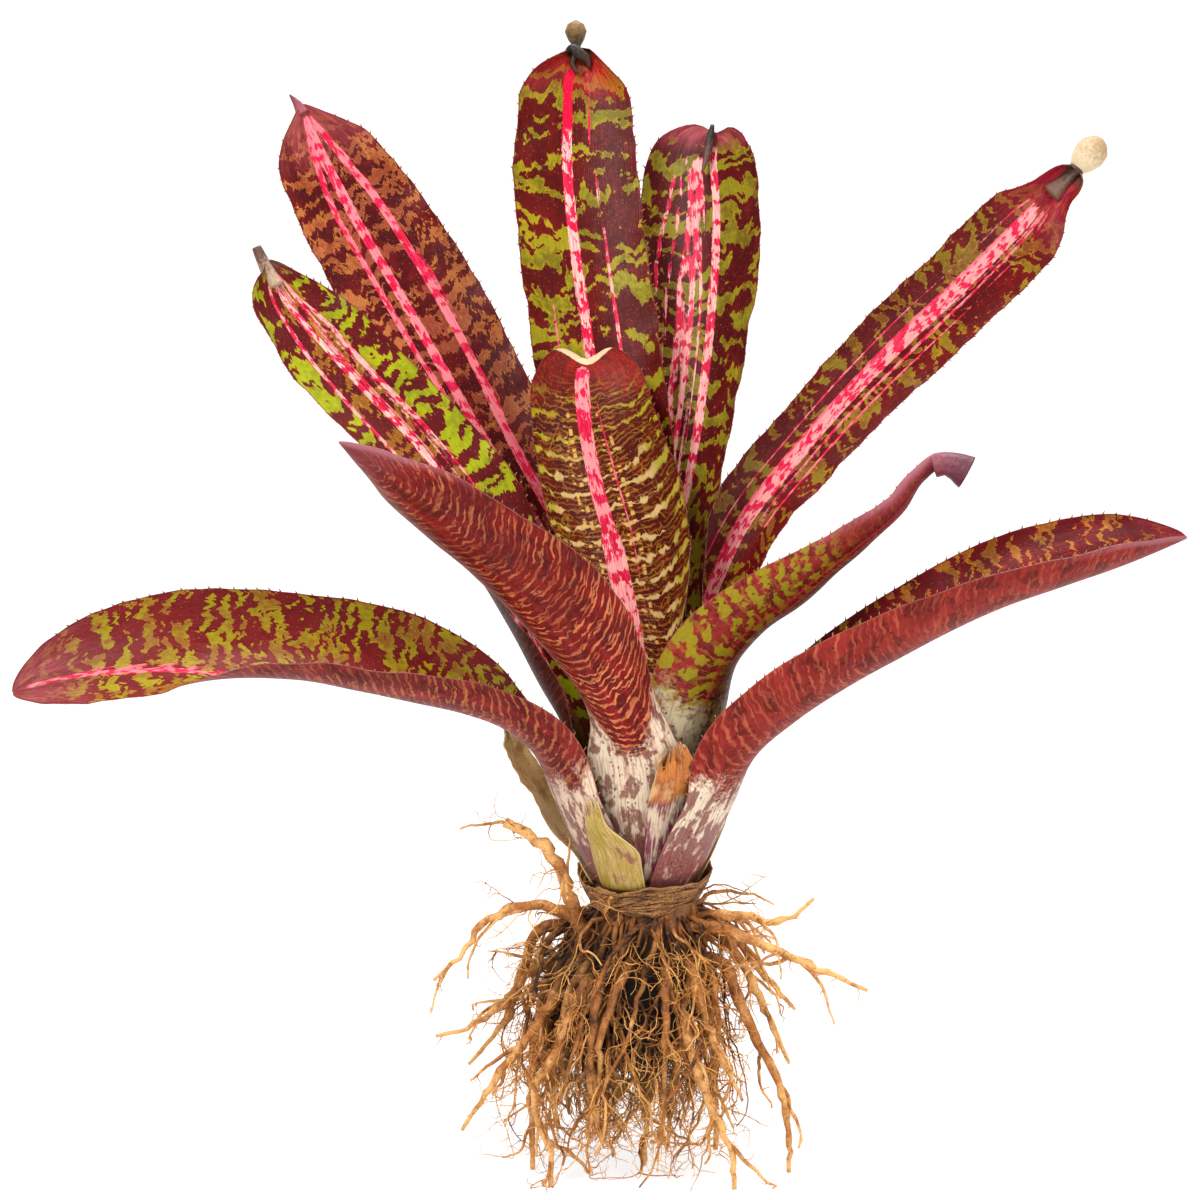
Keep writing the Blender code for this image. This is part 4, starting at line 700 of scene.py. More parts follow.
def under_face(name, look, half):
    """The red-brown lower face: arched cross lines, soft mottling and the pale sheath at the base."""
    m = Surface(name, specular=0.09)
    across, along = m.leaf_place()
    seed = look["seed"] + 100.0
    under = look.get("under", PLAIN_UNDER)
    share = across * (1.0 / half)
    squared = share * share
    vein = m.random(m.calc("FLOOR", across * 1.1) + seed)
    drift = m.noise(m.vector(across * 0.07, along * 0.05, seed), detail=2.0)
    way = along + squared * -under["fan"] + m.centred(drift, 5.0) + m.centred(vein, 0.4)
    wave = m.noise(m.vector(across * 0.05, way * 0.22, seed), detail=1.0, roughness=0.5)
    thin = m.arcs(way, across, 3.1, 0.24, seed)
    thin_two = m.arcs(way, across, 6.3, 0.12, seed + 5.0)
    dashes = m.noise(m.vector(across * 0.35, way * 1.1, seed), detail=2.0)
    grain = m.noise(m.vector(across * 0.5, way * 0.9, seed), detail=3.0)
    slow = m.noise(m.vector(across * 0.08, along * 0.05, seed + 3.0), detail=2.0)
    fade = m.ramp(m.noise(m.vector(across * 0.11, along * 0.045, seed + 8.0), detail=1.0), 0.4, 0.6)

    colour = m.mix(m.ramp(slow + m.centred(grain, 0.5), 0.36, 0.64), *under["base"])
    colour = m.mix(m.ramp(share, 0.1, -0.7) * (under["rosy"] * 0.5), colour, (164, 50, 48))
    darker = m.ramp(m.noise(m.vector(across * 0.16, way * 0.16, seed + 1.0), detail=3.0)
                    + m.centred(grain, 0.2), 0.5, 0.62)
    colour = m.mix(darker * 0.65, colour, (72, 16, 14))
    colour = m.mix(m.ramp(dashes, 0.5, 0.68, 0.22), colour, (166, 66, 52))
    near_base = m.ramp(along + m.centred(slow, 60.0), 165.0, 75.0)
    lines = m.calc("MAXIMUM", thin, thin_two * 0.7)
    strength = (0.12 + fade * 0.4 + near_base * 0.4) * under["arcs"]
    colour = m.mix(lines * strength, colour, under["line"])
    if under["lime"]:
        band = m.arcs(way, across, 5.6, 0.48, seed + 9.0) + grain * 0.2
        lime = (m.ramp(band, 0.3, 0.6)
                * m.ramp(share * -0.5 + m.centred(slow, 0.8), 0.15 - under["lime"] * 0.4,
                         0.5 - under["lime"] * 0.4))
        lime = lime * m.ramp(along, 150.0, 120.0)
        colour = m.mix(lime * 0.9, colour, m.mix(grain, (160, 148, 26), (124, 106, 20)))
    bloom = m.noise(m.vector(across * 0.2, way * 1.6, seed), detail=2.0)
    colour = m.mix(m.ramp(bloom, 0.5, 0.8, 0.08), colour, (190, 130, 130))
    stripe = m.ramp(m.attribute("stripe") + m.centred(grain, 1.2), 0.3, -0.2)
    colour = m.mix(stripe * (0.55 if under["rosy"] > 0.9 else 0.12), colour, (214, 50, 66))
    colour = m.mix(m.ramp(along, look["tip_from"] - 10.0, look["tip_to"], 0.6), colour, look["tip"])

    edge_place = (along + abs(share) * -under.get("vee", 8.0) + m.centred(grain, 20.0)
                  + m.centred(slow, 22.0) + m.centred(wave, 14.0))
    sheath = m.ramp(edge_place, under["sheath_to"] + 7.0, under["sheath_to"] - 4.0)
    cream = m.mix(m.ramp(along, 6.0, 26.0), (196, 150, 130), under["sheath"])
    mottle = m.noise(m.vector(across * 0.15, along * 0.12, seed), detail=3.0, roughness=0.6)
    mottled = m.ramp(mottle + m.ramp(along, 44.0, 8.0, 0.16), 0.5, 0.6)
    cream = m.mix(mottled * 0.8, cream,
                  m.mix(grain, under["blot"], tuple(int(c * 0.66) for c in under["blot"])))
    streaky = m.noise(m.vector(across * 0.8, along * 0.1, seed), detail=2.0)
    cream = m.mix(m.ramp(streaky, 0.48, 0.66, 0.5), cream, (140, 30, 52))
    cream = m.mix(m.ramp(grain, 0.5, 0.7, 0.3), cream, (190, 170, 120))
    colour = m.mix(sheath, colour, cream)
    spots, spot_kind = m.cells(m.vector(across * 0.26, along * 0.26))
    colour = m.mix(m.ramp(spots, 0.16, 0.1, 0.8) * m.ramp(spot_kind, 0.72, 0.75), colour, (84, 30, 22))
    colour = m.mix(m.ramp(m.attribute("rim"), 0.5, 0.1, 0.7), colour, (150, 84, 66))
    dry = m.ramp(along + m.centred(grain, 5.0), look["dry_from"] - 1.5, look["dry_from"] + 1.5)
    colour = m.mix(dry, colour, m.mix(slow, *look.get("dry", [(196, 172, 132), (96, 76, 56)])))

    pale_edge = (m.ramp(m.attribute("rim"), 3.4, 0.6)
                 * m.ramp(along, look["tip_from"] - 30.0, look["tip_to"] - 4.0))
    colour = m.mix(pale_edge * 0.6, colour, (176, 116, 128))
    gloss = 0.46 + m.centred(grain, 0.16) + dry * 0.35
    veins = m.noise(m.vector(across * 2.0, along * 0.04, seed), detail=1.0)
    height = veins * 0.5 + slow * 1.4 + grain * 0.45 + wave * 0.7
    return m.finish(colour, gloss, height, 0.5, 0.35)


def margin_face():
    """The thin leaf edge and its spines: brown-red with golden points."""
    m = Surface("leaf_margin")
    grain = m.noise(m.point(), scale=0.8, detail=2.0)
    colour = m.mix(m.ramp(grain, 0.4, 0.6), (150, 84, 70), (96, 30, 28))
    colour = m.mix(m.ramp(m.attribute("rim"), -0.3, -1.0), colour, (196, 150, 70))
    return m.finish(colour, 0.45, grain, 0.3, 0.1)


def leaf_rows(length, tip):
    """Even rows along the leaf, closer together in the rounded tip."""
    rows = list(np.linspace(0.0, length - tip, max(int((length - tip) / ROW_STEP), 8) + 1))
    if tip:
        steps = max(int(tip / 1.2), 6)
        rows += [length - tip * (1.0 - math.sin(math.pi / 2 * step / steps)) for step in range(1, steps)]
        rows.append(length - tip * 0.002)
    return np.array(rows)


def ripple(rows, columns, seed, wave_lengths):
    """A smooth wave over the leaf, between about -1 and 1."""
    draw = random.Random(seed)
    total = np.zeros((len(rows), len(columns)))
    for wave_length in wave_lengths:
        phase, lean = draw.uniform(0, math.tau), draw.uniform(-1.6, 1.6)
        total += np.sin(math.tau * rows[:, None] / wave_length + phase + lean * columns[None, :])
    return total / len(wave_lengths)


def mesh_object(name, vertices, faces, materials, face_materials=None, smooth=True):
    """A mesh object from points in millimetres."""
    mesh = bpy.data.meshes.new(name)
    mesh.from_pydata((np.asarray(vertices) * MM).tolist(), [], faces)
    for material in materials:
        mesh.materials.append(material)
    if face_materials is not None:
        mesh.polygons.foreach_set("material_index", face_materials)
    if smooth:
        mesh.shade_smooth()
    mesh.update()
    obj = bpy.data.objects.new(name, mesh)
    bpy.context.scene.collection.objects.link(obj)
    return obj


def point_values(mesh, name, values):
    """Store one number for each vertex."""
    layer = mesh.attributes.new(name, "FLOAT", "POINT")
    layer.data.foreach_set("value", np.asarray(values, dtype=np.float32))


def sheet_faces(row_count, column_count, first=0):
    """Faces of a closed thin sheet: front, back and the band between them, with the rim's vertex loop."""
    count = row_count * column_count
    index = first + np.arange(count).reshape(row_count, column_count)
    a, b, c, d = index[:-1, :-1].ravel(), index[:-1, 1:].ravel(), index[1:, 1:].ravel(), index[1:,
            :-1].ravel()
    loop = np.concatenate([index[0, :], index[1:, -1], index[-1, -2::-1], index[-2:0:-1, 0]])
    after = np.roll(loop, -1)
    band = np.stack([after, after + count, loop + count, loop], axis=1)
    return (np.stack([d, c, b, a], axis=1).tolist(), (np.stack([a, b, c, d], axis=1) + count).tolist(),
            band.tolist(), loop, after)


def lay_uvs(mesh, uvs):
    """Give each face corner its vertex's place on the leaf."""
    owners = np.zeros(len(mesh.loops), dtype=np.int32)
    mesh.loops.foreach_get("vertex_index", owners)
    mesh.uv_layers.new(name=UV_NAME).data.foreach_set("uv", uvs[owners].astype(np.float32).ravel())


def stripe_fields(look, rows, columns, half_width):
    """Signed distance to the nearest stripe's edge and that stripe's paleness."""
    nearest = np.full((len(rows), len(columns)), 9.0)
    paleness = np.zeros_like(nearest)
    for width, pale, line in look["stripes"]:
        places = [place for place, _ in line]
        middle = np.interp(rows, places, [share for _, share in line])
        beyond = np.maximum(np.maximum(places[0] - rows, rows - places[-1]), 0.0)
        half = width / 2 * np.clip(half_width / half_width.max() + 0.25, 0.3, 1.0)
        gap = np.abs(columns[None, :] - middle[:, None]) * half_width[:, None] - half[:, None]
        gap = gap + beyond[:, None] * 0.5
        closer = gap < nearest
        nearest[closer] = gap[closer]
        paleness[closer] = pale
    return nearest, paleness


def make_leaf(name, spec, look):
    """One closed leaf with a fine surface, thin margins and spines along both edges."""
    points, normals, rows, columns, half_width, leave = fine_sections(spec, COLUMNS, look.get("end"),
                                                                      look.get("round"))
    row_count, column_count = points.shape[:2]
    if look.get("notch"):
        depth, place, spread = look["notch"]
        lateral = columns[None, :] * half_width[:, None] / half_width.max()
        dent = depth * np.exp(-((lateral - place) / spread) ** 2)
        near_end = smooth_step((rows - rows[-1] + 16.0) / 16.0)
        middle = len(columns) // 2
        back = -unit(points[-8, middle] - points[-20, middle])
        points = points + back[None, None, :] * (near_end[:, None] * dent)[:, :, None]
    out = np.abs(columns)[None, :]
    fade_in = smooth_step((rows - leave) / 40.0)[:, None]
    fade_out = smooth_step((rows[-1] - rows) / 14.0)[:, None]
    flutter = ripple(rows, columns, look["seed"], (23.0, 37.0, 61.0))
    points = points + normals * (flutter * 0.9 * out**3 * fade_in * fade_out)[:, :, None]
    scallop = ripple(rows, np.sign(columns), look["seed"] + 7, (9.0, 14.0, 26.0)) * 0.35
    sideways = unit(points[:, -1] - points[:, 0] + 1e-9)[:, None, :] * np.sign(columns)[None, :, None]
    points = points + sideways * (scallop * out**6 * fade_in * fade_out)[:, :, None]
    thickness = (0.10 + 0.30 * (1.0 - out**4)) * np.ones((row_count, 1))
    if look["dry_from"] < NEVER:
        crumple = ripple(rows, columns * 3, look["seed"] + 3, (3.1, 4.7, 7.3))
        points = points + normals * (crumple * 0.9
                                     * smooth_step((rows - look["dry_from"]) / 4.0)[:, None])[:, :, None]
    top, bottom = points + normals * thickness[:, :, None], points - normals * thickness[:, :, None]
    count = row_count * column_count
    vertices = [top.reshape(-1, 3), bottom.reshape(-1, 3)]
    front, back, band, loop, after = sheet_faces(row_count, column_count)
    faces = front + back + band
    kinds = [UPPER] * len(front) + [UNDER] * len(back) + [MARGIN] * len(band)
    half = half_width.max()
    place_across = (columns[None, :] * half * np.ones((row_count, 1))).ravel()
    place_along = (rows[:, None] * np.ones((1, column_count))).ravel()
    stripe, pale = stripe_fields(look, rows, columns, half_width)
    rim = ((1.0 - np.abs(columns))[None, :] * half_width[:, None]).ravel()
    draw = random.Random(look["seed"] + 50)
    spine_points, spine_rims = [], []
    for side in (0, column_count - 1):
        inner = 1 if side == 0 else column_count - 2
        at = leave + 2.0
        while at < rows[-1] - max(spec["tip"] * 0.5, 4.0):
            row = int(np.searchsorted(rows, at))
            row = min(max(row, 1), row_count - 2)
            along = unit(points[row + 1, side] - points[row - 1, side])
            away = points[row, side] - points[row, inner]
            away = unit(away - along * np.dot(away, along))
            share = (at - rows[row - 1]) / max(rows[row] - rows[row - 1], 1e-6)
            foot = points[row - 1, side] + (points[row, side] - points[row - 1, side]) * share - away * 0.15
            size = draw.uniform(1.0, 1.8) * min(1.0, 0.5 + half_width[row] / 30.0)
            tip = foot + away * size + along * size * 0.55
            normal = normals[row, side]
            start = 2 * count + len(spine_points)
            spine_points += [foot - along * 0.45, foot + along * 0.35, foot + normal * 0.16,
                             foot - normal * 0.16, tip]
            spine_rims += [0.0, 0.0, 0.0, 0.0, -1.2]
            faces += [(start, start + 2, start + 4), (start + 2, start + 1, start + 4),
                      (start + 1, start + 3, start + 4), (start + 3, start, start + 4),
                      (start, start + 3, start + 1, start + 2)]
            kinds += [MARGIN] * 5
            at += draw.uniform(3.2, 5.2)
    if spine_points:
        vertices.append(np.array(spine_points))
    materials = [upper_face(name + "_upper", look, half), under_face(name + "_under", look, half),
                 MATERIALS["margin"]]
    leaf = mesh_object(name + "_blade", np.concatenate(vertices), faces, materials, kinds)
    extra = len(spine_points)
    mesh = leaf.data
    point_values(mesh, "stripe", np.concatenate([stripe.ravel(), stripe.ravel(), np.full(extra, 9.0)]))
    point_values(mesh, "pale", np.concatenate([pale.ravel(), pale.ravel(), np.zeros(extra)]))
    point_values(mesh, "rim", np.concatenate([rim, rim, spine_rims]))
    uvs = np.stack([np.concatenate([place_across, place_across, np.zeros(extra)]),
                    np.concatenate([place_along, place_along, np.zeros(extra)])], axis=1)
    lay_uvs(mesh, uvs)
    rim_edges = {(min(p, q), max(p, q)) for p, q in zip(loop.tolist(), after.tolist())}
    rim_edges |= {(min(p, q) + count, max(p, q) + count) for p, q in zip(loop.tolist(), after.tolist())}
    sharp = [(min(edge.vertices), max(edge.vertices)) in rim_edges or max(edge.vertices) >= 2 * count
             for edge in mesh.edges]
    mesh.attributes.new("sharp_edge", "BOOLEAN", "EDGE").data.foreach_set("value", sharp)
    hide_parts(name)
    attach(leaf, "root")
    return leaf


# The dry pieces: two ground colours, the colours of stains and of dark fibres, how far the torn end is
# ragged and how much the sheet is crumpled
DRY_LOOKS = {
    "leaf_stub": dict(colours=[(164, 138, 44), (204, 172, 110)], stain=(128, 48, 56), dark=(112, 80, 60),
                      ragged=5.5, crumple=0.25, gloss=0.5, slot="leaf"),
    "dry_sheath_torn": dict(colours=[(206, 122, 50), (140, 70, 28)], stain=(226, 172, 112),
                            dark=(74, 34, 18), ragged=12.0, crumple=1.0, gloss=0.28, slot="husk",
                            sheath_to=50),
    "dry_husk_left": dict(colours=[(244, 218, 156), (210, 178, 116)], stain=(160, 122, 74),
                          dark=(110, 78, 46), ragged=4.0, crumple=0.7, gloss=0.6, slot="husk"),
    "dry_husk_right": dict(colours=[(214, 168, 96), (178, 128, 66)], stain=(122, 78, 40), dark=(84, 56, 30),
                           ragged=2.6, crumple=0.7, gloss=0.55, slot="husk"),
}


def husk_face(name, look):
    """Dry papery skin with lengthwise fibres, stains and a darker torn end."""
    m = Surface(name, specular=0.35)
    across, along = m.leaf_place()
    fibre = m.noise(m.vector(across * 1.5, along * 0.09, 3.0), detail=4.0, roughness=0.6)
    cloud = m.noise(m.vector(across * 0.16, along * 0.09, 8.0), detail=3.0)
    grain = m.noise(m.vector(across, along, 1.0), detail=3.0)
    colour = m.mix(m.ramp(fibre * 0.5 + cloud * 0.5, 0.42, 0.6), *look["colours"])
    colour = m.mix(m.ramp(cloud, 0.54, 0.66, 0.75), colour, look["stain"])
    colour = m.mix(m.ramp(fibre, 0.42, 0.3, 0.5), colour, look["dark"])
    spots, kind = m.cells(m.vector(across * 0.5, along * 0.5))
    colour = m.mix(m.ramp(spots, 0.15, 0.08, 0.7) * m.ramp(kind, 0.75, 0.78), colour, look["dark"])
    colour = m.mix(m.ramp(m.attribute("rim"), 0.5, 0.0, 0.7), colour, (226, 196, 150))
    if look.get("sheath_to"):
        mottle = m.ramp(cloud * 0.6 + fibre * 0.4, 0.44, 0.54)
        skin = m.mix(mottle, m.mix(grain, (226, 206, 178), (196, 168, 140)),
                     m.mix(grain, (150, 62, 84), (104, 40, 52)))
        level = along + m.centred(cloud, 16.0) + m.centred(fibre, 10.0)
        colour = m.mix(m.ramp(level, look["sheath_to"] - 13.0, look["sheath_to"] - 17.0), colour, skin)
    return m.finish(colour, look["gloss"] + m.centred(grain, 0.2), fibre + grain * 0.4, 0.6, 0.4)


def make_dry_piece(name, spec, look):
    """One torn or dried piece: a thin crumpled skin with a ragged end."""
    points, normals, rows, columns, half_width, _ = fine_sections(spec, DRY_COLUMNS)
    rise = smooth_step((rows - rows[-1] * 0.25) / (rows[-1] * 0.5))[:, None]
    seed = len(name) * 7
    crumple = ripple(rows, columns * 2.5, seed, (5.0, 8.0, 13.0)) * look["crumple"] * rise
    points = points + normals * crumple[:, :, None]
    draw = random.Random(seed)
    teeth = np.array([draw.uniform(0.0, 1.0) ** 2 for _ in columns]) * look["ragged"]
    near_end = smooth_step((rows - rows[-1] + 10.0) / 10.0)[:, None]
    points = points - unit(np.gradient(points, axis=0)) * (teeth[None, :] * near_end)[:, :, None]
    thickness = 0.32 if name == "leaf_stub" else 0.2
    row_count, column_count = points.shape[:2]
    front, back, band, _, _ = sheet_faces(row_count, column_count)
    vertices = np.concatenate([(points + normals * thickness).reshape(-1, 3),
                               (points - normals * thickness).reshape(-1, 3)])
    piece = mesh_object(name + "_skin", vertices, front + back + band, [husk_face(name + "_skin", look)])
    mesh = piece.data
    margin = ((1.0 - np.abs(columns))[None, :] * half_width[:, None])
    margin = np.minimum(margin, (rows[-1] - rows)[:, None]).ravel()
    point_values(mesh, "rim", np.concatenate([margin, margin]))
    across = (columns[None, :] * half_width[:, None]).ravel()
    along = (rows[:, None] * np.ones((1, column_count))).ravel()
    uvs = np.stack([np.tile(across, 2), np.tile(along, 2)], axis=1)
    lay_uvs(mesh, uvs)
    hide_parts(name)
    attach(piece, "root")


def root_face(name, pale, mid, dark):
    """Woody root skin: tan to ochre with rings, cracks and darker stretches, turning near black inside the
    ball for soil and painted shade. "tone" lightens each root.
    """
    m = Surface(name, specular=0.3)
    place = m.point()
    rings = m.noise(place, scale=0.9, detail=4.0, roughness=0.65)
    cloud = m.noise(place, scale=0.16, detail=2.0)
    fine = m.noise(place, scale=3.0, detail=2.0)
    tone = m.attribute("tone") + m.centred(cloud, 1.3) + m.centred(rings, 0.8)
    colour = m.mix(m.ramp(tone, 0.0, 0.5), dark, mid)
    colour = m.mix(m.ramp(tone, 0.45, 1.0), colour, pale)
    cracks = m.ramp(rings, 0.40, 0.33, 0.6)
    colour = m.mix(cracks, colour, (62, 36, 20))
    aside, depth, level = m.split(place)
    aside = aside - BALL_CENTRE[0]
    reach = m.calc("SQRT", aside * aside + depth * depth)
    # Partly soil, partly painted shade: near black deep inside the ball, low down and away from its top, for
    # the dark gaps among the roots.
    soil_and_painted_shade = m.ramp(reach + m.centred(cloud, 8.0), 36.0, 20.0, 0.85) * m.ramp(level, 10.0, 45.0)
    soil_and_painted_shade = soil_and_painted_shade * m.ramp(level, 100.0, 72.0, 0.7)
    colour = m.mix(soil_and_painted_shade + soil_and_painted_shade * 0.3, colour, (26, 15, 8))
    return m.finish(colour, 0.68 + m.centred(rings, 0.3), rings + fine * 0.4, 0.7, 0.5)


class Tubes:
    """Gathers many tapering tubes into one mesh."""

    def __init__(self):
        self.vertices, self.faces, self.tones, self.count = [], [], [], 0

    def add(self, line, radii, sides, tone, paler=0.0):
        line, radii = np.asarray(line, dtype=float), np.asarray(radii, dtype=float)
        way = unit(np.gradient(line, axis=0) + 1e-9)
        helper = np.where(np.abs(way[:, 2:3]) > 0.9, np.array([[1.0, 0.0, 0.0]]),
                          np.array([[0.0, 0.0, 1.0]]))
        first = unit(np.cross(way, helper))
        for step in range(1, len(line)):
            if np.dot(first[step], first[step - 1]) < 0.5:
                kept = first[step - 1] - way[step] * np.dot(first[step - 1], way[step])
                first[step] = kept / max(np.linalg.norm(kept), 1e-9)
        second = np.cross(way, first)
        angles = np.arange(sides) * math.tau / sides
        rings = (line[:, None, :] + radii[:, None, None]
                 * (np.cos(angles)[None, :, None] * first[:, None, :]
                    + np.sin(angles)[None, :, None] * second[:, None, :]))
        rings[..., 2] = np.maximum(rings[..., 2], 0.02)
        ring_count = len(line)
        index = self.count + np.arange(ring_count * sides).reshape(ring_count, sides)
        low, high = index[:-1], index[1:]
        self.faces += np.stack([low, np.roll(low, -1, axis=1), np.roll(high, -1, axis=1), high],
                               axis=2).reshape(-1, 4).tolist()
        self.faces += [index[0][::-1].tolist(), index[-1].tolist()]
        self.vertices.append(rings.reshape(-1, 3))
        self.tones.append(np.repeat(tone + paler * np.linspace(0.0, 1.0, ring_count), sides))
        self.count += ring_count * sides

    def build(self, name, material, slot="root"):
        piece = mesh_object(name, np.concatenate(self.vertices), self.faces, [material])
        point_values(piece.data, "tone", np.concatenate(self.tones))
        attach(piece, "root")
        return piece


def root_line(keys, pieces):
    """Evenly spaced points of a smooth root through its keys, with a straight level end where it stands."""
    keys = np.array(keys, dtype=float)
    stands = keys[-1][2] == 0.0
    curved = keys[:-1] if stands else keys
    knots = np.concatenate([[0.0], np.cumsum(np.linalg.norm(np.diff(curved, axis=0), axis=1))])
    line = smooth_path(curved, knots, np.linspace(0.0, knots[-1], pieces + 1))
    if not stands:
        return line
    last = np.linspace(line[-1], keys[-1], 6)[1:]
    return np.vstack([line, last])


def standing_root(azimuth, reach):
    """A main root that leaves the ball sideways, bends down and stands on the surface."""
    angle = math.radians(azimuth)
    outward = np.array([math.cos(angle), math.sin(angle), 0.0])
    centre = np.array([BALL_CENTRE[0] * 0.5, 0.0, 0.0])
    heights_and_reaches = ((78, 0.25), (70, 0.72), (46, 0.95), (20, 1.0), (10, 1.0), (0, 1.0))
    return [centre + outward * reach * share + np.array([0.0, 0.0, height])
            for height, share in heights_and_reaches]


def side_root(azimuth, reach, height):
    """A main root that runs out sideways and droops without touching the surface."""
    angle = math.radians(azimuth)
    outward = np.array([math.cos(angle), math.sin(angle), 0.0])
    centre = np.array([BALL_CENTRE[0] * 0.5, 0.0, 0.0])
    heights_and_reaches = ((82, 0.15), (86, 0.5), (height + 14, 0.8), (height, 1.0))
    return [centre + outward * reach * share + np.array([0.0, 0.0, level])
            for level, share in heights_and_reaches]


def ball_root(draw, index):
    """A root that runs down over the ball's side, close to it, and turns out at its end."""
    azimuth = math.tau * (index + draw.uniform(-0.25, 0.25)) / BALL_ROOTS
    sway = draw.uniform(-0.35, 0.35)
    spread = draw.uniform(0.95, 1.22)
    end = draw.uniform(9.0, 30.0)
    points = []
    for share, height, reach in ((0.0, 84.0, 11.0), (0.2, 76.0, 25.0), (0.45, 60.0, 30.0),
                                 (0.7, 42.0, 29.0), (1.0, end, 25.0)):
        angle = azimuth + sway * share
        reach = reach * (1.0 + (spread - 1.0) * min(share * 2.0, 1.0))
        points.append(np.array([BALL_CENTRE[0] * min(share * 2.0, 1.0) + reach * math.cos(angle),
                                reach * math.sin(angle), height]))
    return points


def wander(draw, start, heading, length, steps, restless, sink, spread=62.0):
    """A thin root's line: it keeps its heading roughly, turns at random and sinks a little."""
    line = [np.array(start, dtype=float)]
    way = unit(np.array(heading, dtype=float))
    for _ in range(steps):
        way = unit(way + np.array([draw.gauss(0, restless), draw.gauss(0, restless),
                                   draw.gauss(-sink, restless)]))
        place = line[-1] + way * length / steps
        if place[2] < 1.2:
            place[2] = 1.2 + 0.4 * draw.random()
            way[2] = abs(way[2]) * 0.4
        reach = math.hypot(place[0] + 6.0, place[1])
        if reach > spread and math.hypot(start[0] + 6.0, start[1]) < spread:
            way[:2] *= -0.3
            place = line[-1] + unit(way) * length / steps
        line.append(place)
    return np.array(line)


def draped_root(draw, index):
    """A middle-sized root that leaves the stem's foot, runs over the ball and hangs down from it."""
    angle = index * GOLDEN_ANGLE + draw.uniform(-0.2, 0.2)
    sway = draw.uniform(-1.3, 1.3)
    belly = draw.uniform(22.0, 44.0)
    bottom = draw.uniform(3.0, 34.0)
    keys = []
    for share, height, reach in ((0.0, draw.uniform(91.0, 97.0), 15.5),
                                 (0.15, draw.uniform(82.0, 93.0), 22.5),
                                 (0.45, draw.uniform(56.0, 72.0), belly * 0.86),
                                 (0.75, (bottom + 58.0) / 2, belly),
                                 (1.0, bottom, belly * draw.uniform(0.7, 1.06))):
        turn = angle + sway * share
        shift = BALL_CENTRE[0] * min(share * 2.0, 1.0)
        keys.append((shift + reach * math.cos(turn), reach * math.sin(turn), height))
    return np.array(keys)


